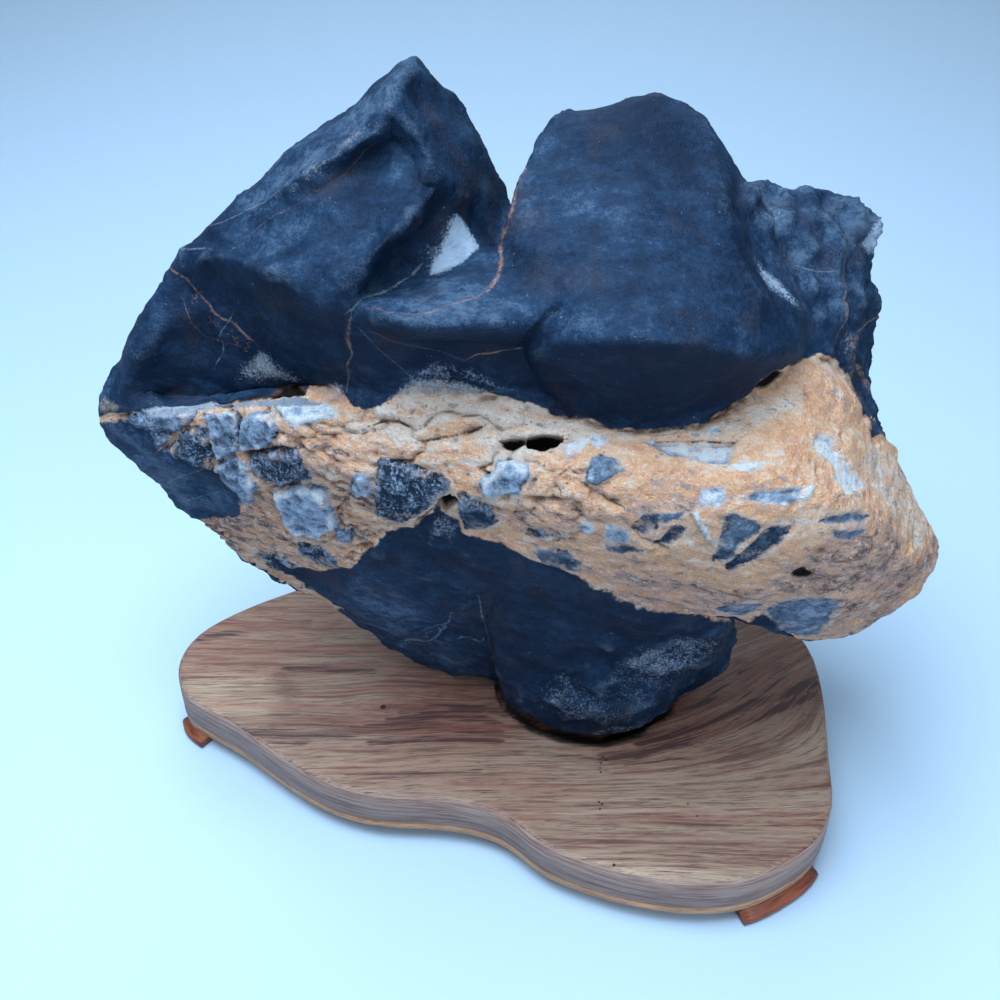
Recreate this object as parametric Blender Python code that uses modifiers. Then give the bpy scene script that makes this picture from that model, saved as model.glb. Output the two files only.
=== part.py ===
"""Scholar's rock on a low wooden stand.

The rock is one natural piece: a dark limestone mass with a pointed peak on the left, a rounded
boulder on the right and a broken block behind it, over a belt of breccia and a narrow foot.
The foot sits in a socket cut in the stand's plate. Under the plate run a moulded rim and
four bracket feet. Lengths are in millimetres until they reach a mesh.
"""

import bmesh
import bpy
from mathutils import Vector

MM = 0.001

# Heights of the stand's layers above the table.
FOOT_HEIGHT = 6.0
RIM_HEIGHT = 3.4
PLATE_THICKNESS = 12.5
CONTACT_GAP = 0.3
RIM_BOTTOM = FOOT_HEIGHT
PLATE_BOTTOM = RIM_BOTTOM + RIM_HEIGHT + CONTACT_GAP
PLATE_TOP = PLATE_BOTTOM + PLATE_THICKNESS
PLATE_EDGE_ROUND = 1.6
EDGE_ROUND_STEPS = 2

# The socket that holds the rock's foot.
SOCKET_FLOOR = PLATE_TOP - 5.5
STONE_BASE = SOCKET_FLOOR + CONTACT_GAP

# How far the forms that cut a clearance reach past what they cut.
CUTTER_REACH = 10.0

# The bead under the plate, inset from the plate's edge.
RIM_INSET = 0.4
RIM_EDGE_ROUND = 1.3

# Points that the plate's edge passes through, anticlockwise from the left end's front.
PLATE_EDGE = (
    (-106, -1), (-88, -13), (-73, -25), (-57, -36), (-40, -42), (-16, -44), (0, -49), (14, -61),
    (32, -69), (48, -73), (62, -74), (75, -72), (87, -66), (97, -58), (104, -45), (107, -26),
    (111, 3), (110, 25), (99, 47), (72, 64), (30, 73), (-10, 73), (-50, 66), (-79, 53),
    (-98, 41), (-109, 30), (-113, 18), (-111, 7),
)

SOCKET_EDGE = (
    (-2, 8), (1, -6), (12, -14), (27, -21), (39, -19), (54, -10), (62, 2), (66, 18), (56, 31),
    (34, 37), (12, 32), (0, 21),
)

# Where each foot sits: its two ends, counted along PLATE_EDGE.
BRACKET_FEET = {
    "foot_front_right": (10.9, 13.2),
    "foot_back_right": (17.2, 18.8),
    "foot_back_left": (22.6, 23.8),
    "foot_left": (27.0, 28.2),
}
# A foot's section: distance out from the plate's edge, height.
FOOT_SECTION = (
    (-9.0, 0.0), (0.8, 0.0), (1.9, 1.0), (2.0, 2.2), (1.2, 3.4), (-0.2, 4.0), (-0.6, 5.7), (-9.0, 5.7),
)
FOOT_END_SLANT = 0.35

# The rock as overlapping convex lumps, each given by the corners of its hull.
STONE_BLOCKS = {
    "left_peak": (
        (-21, 18, 233), (-21, 16, 233), (-25, 10, 229), (-26, 4, 225), (-34, 2, 216), (-41, 4, 212),
        (-50, 5, 207), (-62, 5, 198), (-74, 7, 191), (-20, -2, 218), (-15, -6, 212), (-13, -5, 208),
        (-8, -1, 202), (-2, 4, 192), (-15, 20, 224), (-10, 22, 219), (-5, 20, 207), (0, 13, 195),
        (-39, 30, 215), (-54, 31, 203), (-71, 26, 188), (-81, 20, 182), (-87, 12, 180),
        (-34, 46, 200), (-62, 48, 176), (-84, 34, 152), (2, 44, 178), (-70, 12, 150), (0, 12, 150),
        (0, 42, 140), (-70, 42, 130),
    ),
    "peak_step": (
        (-26, 3, 225), (-34, -1, 216), (-43, -2, 209), (-53, -1, 203), (-64, 1, 195), (-71, 3, 190),
        (-31, -4, 217), (-35, -5, 212), (-43, -6, 207), (-53, -5, 200), (-64, -2, 193),
        (-40, 25, 195), (-70, 20, 165), (-40, 20, 165),
    ),
    "brow": (
        (-37, -9, 208), (-43, -8, 207), (-52, -7, 201), (-64, -2, 192), (-75, 4, 186),
        (-82, 5, 182), (-15, -9, 210), (-19, -17, 208), (-23, -23, 205), (-28, -26, 203),
        (-33, -28, 198), (-38, -27, 192), (-48, -21, 188), (-56, -14, 191), (-67, -4, 188),
        (-19, -12, 210), (-25, -15, 209), (-32, -14, 208), (-38, -19, 204), (-48, -15, 200),
        (-30, 20, 186), (-60, 20, 163), (-75, 15, 158), (-35, 10, 155),
    ),
    "brow_root": (
        (-38, -27, 192), (-34, -27, 196), (-34, -26, 188), (-36, -26, 185), (-44, -22, 183),
        (-48, -20, 187), (-41, -20, 174), (-37, -22, 173), (-40, 5, 150), (-55, 5, 160),
    ),
    "valley": (
        (-15, -1, 205), (-11, 4, 197), (-6, 5, 194), (-2, 4, 189), (0, 0, 185), (-5, -3, 189),
        (-11, -8, 187), (-16, -11, 186), (-23, -16, 186), (-31, -21, 185), (-36, -22, 185),
        (-40, 20, 150), (5, 25, 150), (5, 25, 185), (-20, 20, 188),
    ),
    "valley_step": (
        (-24, -18, 188), (-15, -12, 187), (-10, -12, 186), (-7, -15, 185), (-17, -20, 185),
        (-28, -23, 186), (-20, 10, 160),
    ),
    "shelf": (
        (-35, -27, 187), (-28, -25, 187), (-17, -22, 186), (-7, -17, 186), (0, -9, 187),
        (1, -3, 191), (12, -23, 190), (12, -29, 188), (7, -36, 187), (-8, -37, 188),
        (-21, -37, 188), (-26, -34, 188), (-32, -29, 186), (7, -31, 181), (-8, -31, 181),
        (-22, -31, 181), (-35, 5, 160), (15, 10, 160), (15, 10, 180),
    ),
    "under_shelf": (
        (-37, -24, 183), (-36, -19, 155), (-32, -18, 153), (-24, -19, 159), (-17, -19, 161),
        (-8, -21, 165), (3, -23, 161), (12, -22, 162), (10, -24, 179), (-7, -26, 179),
        (-24, -26, 180), (-40, 15, 140), (25, 10, 140), (15, 10, 170),
    ),
    "boulder": (
        (0, -2, 200), (3, 4, 203), (5, 8, 207), (7, 12, 210), (11, 18, 214), (17, 23, 217),
        (25, 26, 218), (31, 28, 219), (37, 29, 219), (44, 30, 217), (50, 28, 216), (54, 24, 212),
        (58, 20, 206), (62, 16, 200), (53, 8, 207), (56, -6, 197), (60, -24, 188), (1, -8, 190),
        (11, -24, 187), (10, -31, 179), (23, -40, 186), (34, -44, 188), (46, -43, 186),
        (59, -37, 180), (75, -24, 173), (72, 12, 187), (78, 4, 180), (80, -6, 173), (80, -14, 169),
        (12, -21, 158), (17, -22, 156), (22, -26, 155), (30, -29, 154), (43, -29, 153),
        (57, -25, 156), (66, -19, 161), (77, -14, 164), (36, 52, 200), (62, 46, 184), (16, 50, 185),
        (8, 30, 150), (72, 25, 140), (30, 10, 140),
    ),
    "back_block": (
        (69, 31, 192), (73, 30, 193), (78, 27, 191), (84, 36, 189), (90, 38, 188), (97, 38, 184),
        (102, 37, 181), (104, 31, 176), (104, 25, 160), (105, 20, 147), (74, 12, 183), (80, 8, 179),
        (91, 19, 178), (92, 12, 167), (93, 8, 163), (87, -2, 160), (76, -8, 165), (76, -8, 153),
        (98, 1, 144), (66, 60, 176), (98, 60, 160), (108, 48, 135), (96, 42, 105), (70, 50, 110),
    ),
    "back_knob": (
        (66, 30, 194), (69, 31, 193), (72, 31, 192), (75, 33, 193), (75, 24, 190), (69, 20, 189),
        (66, 24, 191), (70, 45, 170),
    ),
    "back_crest": (
        (79, 35, 191), (85, 37, 189), (91, 39, 189), (96, 39, 185), (96, 34, 183), (87, 30, 186),
        (82, 30, 187), (88, 50, 165),
    ),
    "back_corner": (
        (99, 36, 182), (102, 36, 183), (108, 33, 181), (108, 31, 176), (107, 30, 171),
        (102, 27, 171), (98, 29, 177), (100, 48, 160), (104, 44, 150),
    ),
    "back_side": (
        (104, 28, 171), (108, 28, 162), (108, 27, 158), (106, 24, 157), (109, 25, 151),
        (108, 22, 146), (108, 20, 139), (99, 14, 157), (99, 10, 148), (96, 18, 167), (108, 50, 150),
        (104, 45, 120),
    ),
    "back_heel": (
        (108, 20, 139), (112, 18, 131), (114, 14, 119), (98, 6, 152), (99, 2, 143), (106, 2, 131),
        (112, 45, 120), (110, 45, 100), (90, 40, 100), (90, 10, 120),
    ),
    "wedge": (
        (-86, 9, 180), (-80, 8, 184), (-65, -3, 187), (-59, -9, 187), (-52, -14, 188),
        (-47, -18, 184), (-38, -24, 184), (-36, -22, 173), (-38, -16, 156), (-45, -11, 159),
        (-68, 1, 160), (-86, 5, 157), (-84, 2, 146), (-93, 4, 145), (-88, 34, 150), (-60, 40, 130),
        (-50, 10, 140),
    ),
    "wedge_ridge": (
        (-86, 9, 180), (-89, 10, 176), (-83, 8, 179), (-93, 13, 167), (-91, 4, 162), (-86, 6, 161),
        (-98, 15, 156), (-98, 1, 156), (-103, 0, 150), (-110, 5, 143), (-107, 13, 148),
        (-112, 11, 143), (-103, -2, 142), (-90, -4, 144), (-93, 2, 148), (-90, 34, 150),
        (-80, 30, 135),
    ),
    "wedge_lip": (
        (-103, -2, 141), (-87, -6, 145), (-75, -10, 150), (-53, -15, 156), (-38, -18, 155),
        (-38, -15, 160), (-54, -8, 157), (-75, 0, 156), (-95, 2, 146), (-101, 2, 145),
        (-90, 25, 140), (-50, 20, 135),
    ),
    "tip": (
        (-118, 7, 137), (-118, 6, 134), (-117, 6, 128), (-111, 5, 120), (-101, 5, 108),
        (-93, 6, 92), (-103, -2, 140), (-87, -7, 145), (-75, -11, 150), (-78, -8, 113),
        (-90, -7, 130), (-110, 4, 143), (-92, 28, 138), (-80, 30, 100), (-60, 20, 130),
    ),
    "breccia_left": (
        (-75, -12, 150), (-52, -19, 157), (-37, -22, 156), (-52, -26, 147), (-41, -28, 139),
        (-78, -9, 114), (-93, 6, 92), (-83, 9, 78), (-69, 12, 61), (-57, 12, 54), (-48, -12, 93),
        (-59, -12, 101), (-66, -18, 131), (-80, 40, 120), (-50, 50, 80), (-40, 20, 110),
    ),
    "dusty_lens": (
        (-31, -22, 155), (-28, -17, 156), (-21, -16, 159), (-13, -16, 162), (-5, -18, 164),
        (3, -19, 160), (11, -20, 156), (14, -26, 155), (3, -28, 158), (-15, -28, 157),
        (-20, 10, 120), (20, 10, 120),
    ),
    "breccia_mid": (
        (-40, -22, 156), (-32, -22, 155), (-15, -26, 156), (3, -27, 157), (14, -27, 155),
        (30, -28, 152), (38, -29, 152), (-41, -29, 140), (-26, -31, 149), (-16, -28, 126),
        (-32, -20, 110), (-48, -12, 93), (-13, -36, 145), (0, -39, 147), (25, -37, 152),
        (25, -44, 148), (25, -46, 138), (26, -43, 124), (10, -41, 139), (11, -38, 127),
        (8, -30, 110), (27, -34, 104), (-4, -27, 114), (42, -37, 99), (40, -37, 153),
        (40, -45, 150), (40, -49, 142), (41, -48, 128), (42, -43, 112), (-40, 45, 90), (40, 45, 90),
        (40, 45, 140), (-40, 40, 140),
    ),
    "breccia_bulge": (
        (39, -28, 151), (51, -28, 153), (67, -19, 159), (78, -13, 162), (90, -8, 157),
        (99, -7, 146), (109, 0, 131), (120, 8, 109), (125, 5, 101), (130, 0, 99), (132, -8, 96),
        (129, -14, 94), (122, -22, 87), (115, -24, 81), (106, -28, 78), (96, -32, 80),
        (86, -35, 86), (75, -38, 98), (59, -40, 100), (42, -37, 100), (40, -36, 153),
        (40, -44, 149), (40, -48, 141), (41, -47, 127), (42, -42, 111), (60, -38, 154),
        (59, -46, 151), (59, -51, 144), (61, -51, 131), (63, -46, 114), (77, -36, 151),
        (76, -45, 147), (76, -49, 139), (78, -49, 126), (82, -44, 107), (94, -32, 139),
        (96, -40, 133), (97, -42, 123), (100, -38, 105), (92, -20, 145), (113, -26, 113),
        (114, -28, 102), (118, 40, 105), (110, 48, 75), (60, 48, 80), (60, 40, 130), (125, 20, 90),
        (105, 10, 66),
    ),
    "bulge_knob": (
        (115, 12, 123), (117, 12, 122), (122, 10, 116), (121, 8, 112), (116, 4, 115), (113, 6, 121),
        (112, 20, 110),
    ),
    "bulge_snout": (
        (126, 2, 102), (131, 0, 99), (133, -6, 96), (131, -12, 95), (127, -18, 91), (119, -24, 93),
        (111, -32, 111), (114, -20, 114), (110, 10, 95),
    ),
    "left_heel": (
        (-56, 8, 58), (-46, -14, 92), (-32, -20, 110), (-16, -25, 122), (-10, -26, 113),
        (-6, -24, 98), (-7, -20, 83), (-5, -16, 71), (-1, 2, 28), (-10, 6, 24), (-18, 7, 24),
        (-28, 8, 28), (-34, 8, 36), (-41, 8, 42), (-46, 8, 52), (-19, -6, 55), (-50, 34, 72),
        (-28, 40, 48), (-8, 36, 36), (-10, 40, 100),
    ),
    "foot": (
        (-10, -24, 114), (8, -29, 108), (27, -32, 101), (42, -35, 97), (56, -34, 96), (70, -24, 83),
        (-5, -21, 86), (-1, -8, 37), (2, -11, 32), (7, -14, 28), (15, -17, 25), (25, -19, 23),
        (33, -19, 22), (41, -17, 24), (50, -12, 24), (58, -6, 24), (12, -25, 69), (30, -26, 62),
        (35, -30, 78), (4, 24, 17), (14, 31, 17), (34, 35, 17), (50, 30, 17), (76, 28, 58),
        (0, 40, 100), (60, 40, 90),
    ),
    "foot_toe": (
        (42, -26, 74), (58, -28, 82), (72, -20, 74), (77, -4, 53), (77, 2, 40), (76, 5, 32),
        (68, 0, 27), (58, -6, 24), (49, -14, 28), (45, -19, 41), (59, -20, 60), (70, 25, 45),
        (40, 20, 30),
    ),
    "core": (
        (-60, 15, 150), (-60, 40, 100), (0, 45, 60), (60, 45, 60), (90, 35, 90), (90, 35, 150),
        (60, 40, 178), (-40, 45, 175), (-40, 0, 150), (60, -5, 160), (60, -15, 90), (0, -15, 60),
        (-50, -2, 100), (80, -15, 110), (20, -14, 140), (75, -5, 145),
    ),
    "back_left_slab": (
        (-38, 50, 192), (-64, 50, 172), (-87, 36, 150), (-74, 54, 138), (-40, 60, 160),
        (-14, 56, 168), (-92, 32, 126), (-70, 52, 112), (-36, 62, 120), (-8, 58, 130),
        (-50, 20, 150), (-60, 20, 110),
    ),
    "back_left_rib": (
        (-8, 55, 160), (4, 53, 158), (16, 58, 150), (-16, 62, 140), (8, 65, 134), (26, 61, 126),
        (-20, 59, 108), (12, 61, 98), (0, 30, 150), (0, 30, 110),
    ),
    "back_right_slab": (
        (34, 52, 192), (54, 50, 188), (68, 52, 176), (24, 60, 168), (62, 62, 160), (78, 60, 140),
        (30, 64, 130), (70, 60, 112), (24, 62, 104), (58, 58, 92), (40, 30, 150), (50, 30, 100),
    ),
    "back_low_left": (
        (-88, 28, 114), (-84, 27, 94), (-62, 46, 104), (-58, 42, 80), (-36, 54, 100), (-34, 50, 64),
        (-12, 57, 88), (-10, 50, 50), (4, 48, 44), (-50, 20, 72), (-10, 20, 60), (-40, 20, 100),
    ),
    "back_low_right": (
        (40, 60, 100), (84, 56, 108), (108, 46, 104), (116, 38, 88), (96, 46, 72), (62, 54, 70),
        (30, 52, 58), (50, 30, 60), (90, 20, 80), (30, 30, 100),
    ),
    "back_foot": (
        (2, 24, 24), (16, 32, 22), (34, 36, 22), (52, 30, 24), (64, 16, 28), (-4, 44, 40),
        (14, 52, 50), (40, 50, 48), (66, 44, 54), (78, 22, 50), (10, 20, 70), (60, 20, 70),
        (60, 48, 74), (0, 50, 64),
    ),
    "back_core": (
        (-84, 32, 142), (-62, 48, 168), (-50, 50, 176), (-18, 55, 160), (14, 55, 160),
        (34, 54, 174), (60, 50, 180), (76, 54, 150), (84, 52, 112), (62, 54, 84), (20, 54, 66),
        (-20, 52, 72), (-60, 44, 96), (-80, 30, 112), (-4, 46, 52), (50, 48, 58), (0, 20, 120),
    ),
    "bulge_pebble": (
        (74, -36, 97), (78, -45, 110), (90, -45, 110), (95, -41, 101), (95, -33, 80), (86, -36, 84),
        (78, -38, 92), (80, 0, 75), (95, 0, 72),
    ),
    "back_saddle": (
        (-40, 40, 180), (-20, 36, 176), (2, 38, 164), (18, 44, 170), (-34, 56, 166), (-10, 60, 150),
        (14, 60, 148), (30, 57, 162), (0, 40, 140),
    ),
    "back_joint": (
        (58, 46, 184), (68, 38, 186), (80, 44, 176), (72, 54, 172), (88, 52, 158), (78, 58, 146),
        (66, 30, 160), (70, 50, 130),
    ),
}

# Holes in the breccia and the cleft under the boulder, as hulls cut out of the rock.
STONE_PITS = {
    "upper_pit": (
        (6, -38, 158), (15, -38, 159), (17, -38, 156), (13, -38, 152), (7, -38, 152), (8, -24, 146),
        (15, -24, 146), (12, -24, 144),
    ),
    "lower_pit": (
        (-17, -34, 134), (-10, -34, 135), (-9, -35, 129), (-12, -33, 121), (-16, -34, 127),
        (-15, -20, 120), (-11, -20, 119), (-13, -22, 116),
    ),
    "boulder_cleft": (
        (63, -28, 163), (68, -26, 167), (73, -22, 167), (75, -22, 165), (70, -26, 163),
        (66, -28, 160), (71, -12, 155), (76, -10, 157),
    ),
}

# The rock's skin: grid size of the fused lumps, rounds of softening and number of faces.
VOXEL = 1.5
SOFTENING = 4
STONE_TRIANGLES = 7400

# Surface relief: texture scale, displacement.
RELIEF = (("broad_relief", 16.0, 3.0), ("fine_relief", 6.0, 1.1))

EDGE_SAMPLES = 3


def clear_scene():
    """Remove every object the file opened with."""
    for old_object in list(bpy.data.objects):
        bpy.data.objects.remove(old_object, do_unlink=True)


def new_collection(name):
    """A collection linked to the scene."""
    collection = bpy.data.collections.new(name)
    bpy.context.scene.collection.children.link(collection)
    return collection


def principled(name, colour, roughness):
    """A plain, non-metallic Principled material."""
    material = bpy.data.materials.new(name)
    material.use_nodes = True
    shader = material.node_tree.nodes["Principled BSDF"]
    shader.inputs["Base Color"].default_value = (*colour, 1.0)
    shader.inputs["Roughness"].default_value = roughness
    shader.inputs["Metallic"].default_value = 0.0
    return material


def smooth_loop_point(points, place):
    """The point at a place counted along a closed smooth curve through the points."""
    count = len(points)
    first = int(place // 1)
    step = place - first
    before, start, end, after = (Vector(points[(first + k) % count]) for k in (-1, 0, 1, 2))
    slope_in = (end - before) / 2
    slope_out = (after - start) / 2
    return (
        start * (2 * step**3 - 3 * step**2 + 1)
        + slope_in * (step**3 - 2 * step**2 + step)
        + end * (3 * step**2 - 2 * step**3)
        + slope_out * (step**3 - step**2)
    )


def smooth_loop(points):
    """The closed curve sampled evenly between its points."""
    total = len(points) * EDGE_SAMPLES
    return [smooth_loop_point(points, k / EDGE_SAMPLES) for k in range(total)]


def curve_object(name, dimensions, loop, cyclic):
    """A curve object with one poly spline, in metres."""
    curve = bpy.data.curves.new(name, "CURVE")
    curve.dimensions = dimensions
    spline = curve.splines.new("POLY")
    spline.points.add(len(loop) - 1)
    for point, place in zip(spline.points, loop):
        height = place[2] if len(place) > 2 else 0.0
        point.co = (place[0] * MM, place[1] * MM, height * MM, 1.0)
    spline.use_cyclic_u = cyclic
    return bpy.data.objects.new(name, curve)


def curve_to_mesh(curve_holder, collection, material):
    """Replace a curve object by a mesh object of the same form, with its caps welded on."""
    bpy.context.scene.collection.objects.link(curve_holder)
    bpy.context.view_layer.update()
    evaluated = curve_holder.evaluated_get(bpy.context.evaluated_depsgraph_get())
    mesh = bpy.data.meshes.new_from_object(evaluated)
    name = curve_holder.name
    place = curve_holder.matrix_world.copy()
    bpy.data.objects.remove(curve_holder)
    shape = bmesh.new()
    shape.from_mesh(mesh)
    bmesh.ops.remove_doubles(shape, verts=shape.verts, dist=0.00001)
    bmesh.ops.recalc_face_normals(shape, faces=shape.faces)
    shape.to_mesh(mesh)
    shape.free()
    solid = bpy.data.objects.new(name, mesh)
    solid.matrix_world = place
    mesh.materials.clear()
    if material:
        mesh.materials.append(material)
    collection.objects.link(solid)
    return solid


def outline_board(name, edge, bottom, top, collection, material=None, grow=0.0):
    """A flat board of the given outline, grown or shrunk sideways."""
    board = curve_object(name, "2D", smooth_loop(edge), True)
    curve = board.data
    curve.fill_mode = "BOTH"
    curve.extrude = (top - bottom) / 2 * MM
    curve.offset = grow * MM
    board.location.z = (top + bottom) / 2 * MM
    return curve_to_mesh(board, collection, material)


def round_edge(board, facing, width):
    """Round the board's edge on the side that faces up (+1) or down (-1)."""
    flat, upright = 0.9, 0.1
    shape = bmesh.new()
    shape.from_mesh(board.data)
    shape.normal_update()
    corners = [
        edge for edge in shape.edges
        if len(edge.link_faces) == 2
        and any(face.normal.z * facing > flat for face in edge.link_faces)
        and any(abs(face.normal.z) < upright for face in edge.link_faces)
    ]
    bmesh.ops.bevel(
        shape,
        geom=corners,
        offset=width * MM,
        segments=EDGE_ROUND_STEPS,
        profile=0.5,
        affect="EDGES",
    )
    shape.to_mesh(board.data)
    shape.free()


def hide_cutter(cutter):
    """Show a cutter as a wire and keep it out of renders."""
    cutter.hide_render = True
    cutter.display_type = "WIRE"
    return cutter


def cut(solid, cutter):
    """Take the cutter's form out of the solid."""
    boolean = solid.modifiers.new("cut_" + cutter.name, "BOOLEAN")
    boolean.operation = "DIFFERENCE"
    boolean.solver = "EXACT"
    boolean.object = cutter


def make_plate(parts, cutters):
    """The stand's plate with the socket for the rock's foot."""
    wood = principled("plate_wood", (0.36, 0.21, 0.12), 0.55)
    plate = outline_board("base_plate", PLATE_EDGE, PLATE_BOTTOM, PLATE_TOP, parts, wood)
    round_edge(plate, 1, PLATE_EDGE_ROUND)
    socket_top = PLATE_TOP + CUTTER_REACH
    socket = outline_board("socket", SOCKET_EDGE, SOCKET_FLOOR, socket_top, cutters)
    cut(plate, hide_cutter(socket))
    return plate


def make_rim(parts):
    """The moulded bead under the plate."""
    wood = principled("rim_wood", (0.50, 0.20, 0.07), 0.5)
    rim_top = RIM_BOTTOM + RIM_HEIGHT
    rim = outline_board("base_rim", PLATE_EDGE, RIM_BOTTOM, rim_top, parts, wood, -RIM_INSET)
    round_edge(rim, 1, RIM_EDGE_ROUND)
    return rim


def trim_end(shape, place, outward):
    """Cut a foot's end on a slant, so that it narrows towards the table."""
    slant = (outward.normalized() + Vector((0, 0, -FOOT_END_SLANT))).normalized()
    everything = shape.verts[:] + shape.edges[:] + shape.faces[:]
    bmesh.ops.bisect_plane(
        shape, geom=everything, plane_co=place, plane_no=slant, clear_outer=True
    )
    rim = [edge for edge in shape.edges if edge.is_boundary]
    bmesh.ops.holes_fill(shape, edges=rim)


def make_foot(name, ends, parts, material):
    """A bracket foot: its section swept along the plate's edge, with slanted ends."""
    steps = round((ends[1] - ends[0]) * EDGE_SAMPLES) + 1
    path = [
        smooth_loop_point(PLATE_EDGE, ends[0] + (ends[1] - ends[0]) * k / steps)
        for k in range(steps + 1)
    ]
    section = curve_object(name + "_section", "2D", FOOT_SECTION, True)
    sweep = curve_object(name, "3D", path, False)
    sweep.data.twist_mode = "Z_UP"
    sweep.data.bevel_mode = "OBJECT"
    sweep.data.bevel_object = section
    sweep.data.use_fill_caps = True
    foot = curve_to_mesh(sweep, parts, material)
    bpy.data.objects.remove(section)
    shape = bmesh.new()
    shape.from_mesh(foot.data)
    for end, inner in ((path[0], path[1]), (path[-1], path[-2])):
        outward = (end - inner).to_3d()
        place = end.to_3d() * MM
        trim_end(shape, place, outward)
    shape.to_mesh(foot.data)
    shape.free()
    return foot


def convex_block(shape, corners):
    """Add the convex hull of the corners to the shape."""
    block = bmesh.new()
    for corner in corners:
        block.verts.new(Vector(corner) * MM)
    hull = bmesh.ops.convex_hull(block, input=block.verts)
    inside = {vert for vert in hull["geom_interior"] if isinstance(vert, bmesh.types.BMVert)}
    bmesh.ops.delete(block, geom=list(inside), context="VERTS")
    mesh = bpy.data.meshes.new("block")
    block.to_mesh(mesh)
    block.free()
    shape.from_mesh(mesh)
    bpy.data.meshes.remove(mesh)


def add_relief(stone, name, size, strength):
    """Push the surface in and out by a soft noise of the given grain size."""
    texture = bpy.data.textures.new(name, "CLOUDS")
    texture.noise_scale = size * MM
    texture.noise_depth = 2
    relief = stone.modifiers.new(name, "DISPLACE")
    relief.texture = texture
    relief.texture_coords = "LOCAL"
    relief.strength = strength * MM
    relief.mid_level = 0.5


def evaluated_mesh(solid):
    """A new mesh of the solid with its modifiers, as triangles."""
    bpy.context.view_layer.update()
    depsgraph = bpy.context.evaluated_depsgraph_get()
    mesh = bpy.data.meshes.new_from_object(solid.evaluated_get(depsgraph))
    shape = bmesh.new()
    shape.from_mesh(mesh)
    bmesh.ops.triangulate(shape, faces=shape.faces)
    shape.to_mesh(mesh)
    shape.free()
    return mesh


def connected_shells(shape):
    """The vertices of each separate shell of the shape."""
    waiting = set(shape.verts)
    shells = []
    while waiting:
        shell = []
        edge_of_shell = [waiting.pop()]
        while edge_of_shell:
            vert = edge_of_shell.pop()
            shell.append(vert)
            for edge in vert.link_edges:
                neighbour = edge.other_vert(vert)
                if neighbour in waiting:
                    waiting.remove(neighbour)
                    edge_of_shell.append(neighbour)
        shells.append(shell)
    return shells


def keep_outer_shell(mesh):
    """Fill the sealed bubbles left between the lumps by deleting all shells but the largest."""
    shape = bmesh.new()
    shape.from_mesh(mesh)
    shells = sorted(connected_shells(shape), key=len)
    bubbles = [vert for shell in shells[:-1] for vert in shell]
    bmesh.ops.delete(shape, geom=bubbles, context="VERTS")
    shape.to_mesh(mesh)
    shape.free()


def hull_solid(name, blocks, collection):
    """One mesh object that holds the hulls of all the blocks."""
    shape = bmesh.new()
    for corners in blocks.values():
        convex_block(shape, corners)
    mesh = bpy.data.meshes.new(name)
    shape.to_mesh(mesh)
    shape.free()
    solid = bpy.data.objects.new(name, mesh)
    collection.objects.link(solid)
    return solid


def fuse_lumps(stone):
    """Join the overlapping lumps into one skin."""
    fuse = stone.modifiers.new("fuse", "REMESH")
    fuse.mode = "VOXEL"
    fuse.voxel_size = VOXEL * MM
    fused = evaluated_mesh(stone)
    keep_outer_shell(fused)
    stone.modifiers.clear()
    stone.data = fused


def seat_on_stand(stone, cutters):
    """Trim the rock's foot to a flat seat in the socket, clear of the plate."""
    clearance = outline_board(
        "stand_clearance",
        PLATE_EDGE,
        -CUTTER_REACH,
        PLATE_TOP + CONTACT_GAP,
        cutters,
        grow=CUTTER_REACH,
    )
    pocket = outline_board(
        "socket_clearance",
        SOCKET_EDGE,
        STONE_BASE,
        PLATE_TOP + CUTTER_REACH,
        cutters,
        grow=-CONTACT_GAP,
    )
    cut(clearance, hide_cutter(pocket))
    cut(stone, hide_cutter(clearance))


def make_stone(parts, cutters):
    """The rock: its lumps fused, pitted, weathered and seated on the stand."""
    stone = hull_solid("stone", STONE_BLOCKS, parts)
    fuse_lumps(stone)
    stone.data.materials.clear()
    stone.data.materials.append(principled("dark_limestone", (0.03, 0.045, 0.075), 0.6))
    cut(stone, hide_cutter(hull_solid("pits", STONE_PITS, cutters)))
    soften = stone.modifiers.new("soften", "SMOOTH")
    soften.factor = 0.5
    soften.iterations = SOFTENING
    for name, size, strength in RELIEF:
        add_relief(stone, name, size, strength)
    thin = stone.modifiers.new("thin", "DECIMATE")
    thin.ratio = STONE_TRIANGLES / len(evaluated_mesh(stone).polygons)
    seat_on_stand(stone, cutters)
    return stone


def world_bounds(solids):
    """The lowest and highest corners of the solids as built."""
    depsgraph = bpy.context.evaluated_depsgraph_get()
    places = []
    for solid in solids:
        evaluated = solid.evaluated_get(depsgraph)
        places += [evaluated.matrix_world @ Vector(corner) for corner in evaluated.bound_box]
    lowest = Vector(min(place[axis] for place in places) for axis in range(3))
    highest = Vector(max(place[axis] for place in places) for axis in range(3))
    return lowest, highest


def centre_on_origin(parts, cutters):
    """Stand the whole object on the origin, centred over it."""
    holder = bpy.data.objects.new("rock_and_stand", None)
    parts.objects.link(holder)
    solids = [solid for solid in parts.objects if solid.type == "MESH"]
    for solid in solids + list(cutters.objects):
        solid.parent = holder
    bpy.context.view_layer.update()
    lowest, highest = world_bounds(solids)
    centre = (lowest + highest) / 2
    holder.location = (-centre.x, -centre.y, -lowest.z)
    bpy.context.view_layer.update()


def main():
    clear_scene()
    parts = new_collection("scholars_rock")
    cutters = new_collection("cutters")
    make_plate(parts, cutters)
    make_rim(parts)
    foot_wood = principled("foot_wood", (0.48, 0.17, 0.05), 0.5)
    for name, ends in BRACKET_FEET.items():
        make_foot(name, ends, parts, foot_wood)
    make_stone(parts, cutters)
    centre_on_origin(parts, cutters)


main()
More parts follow.
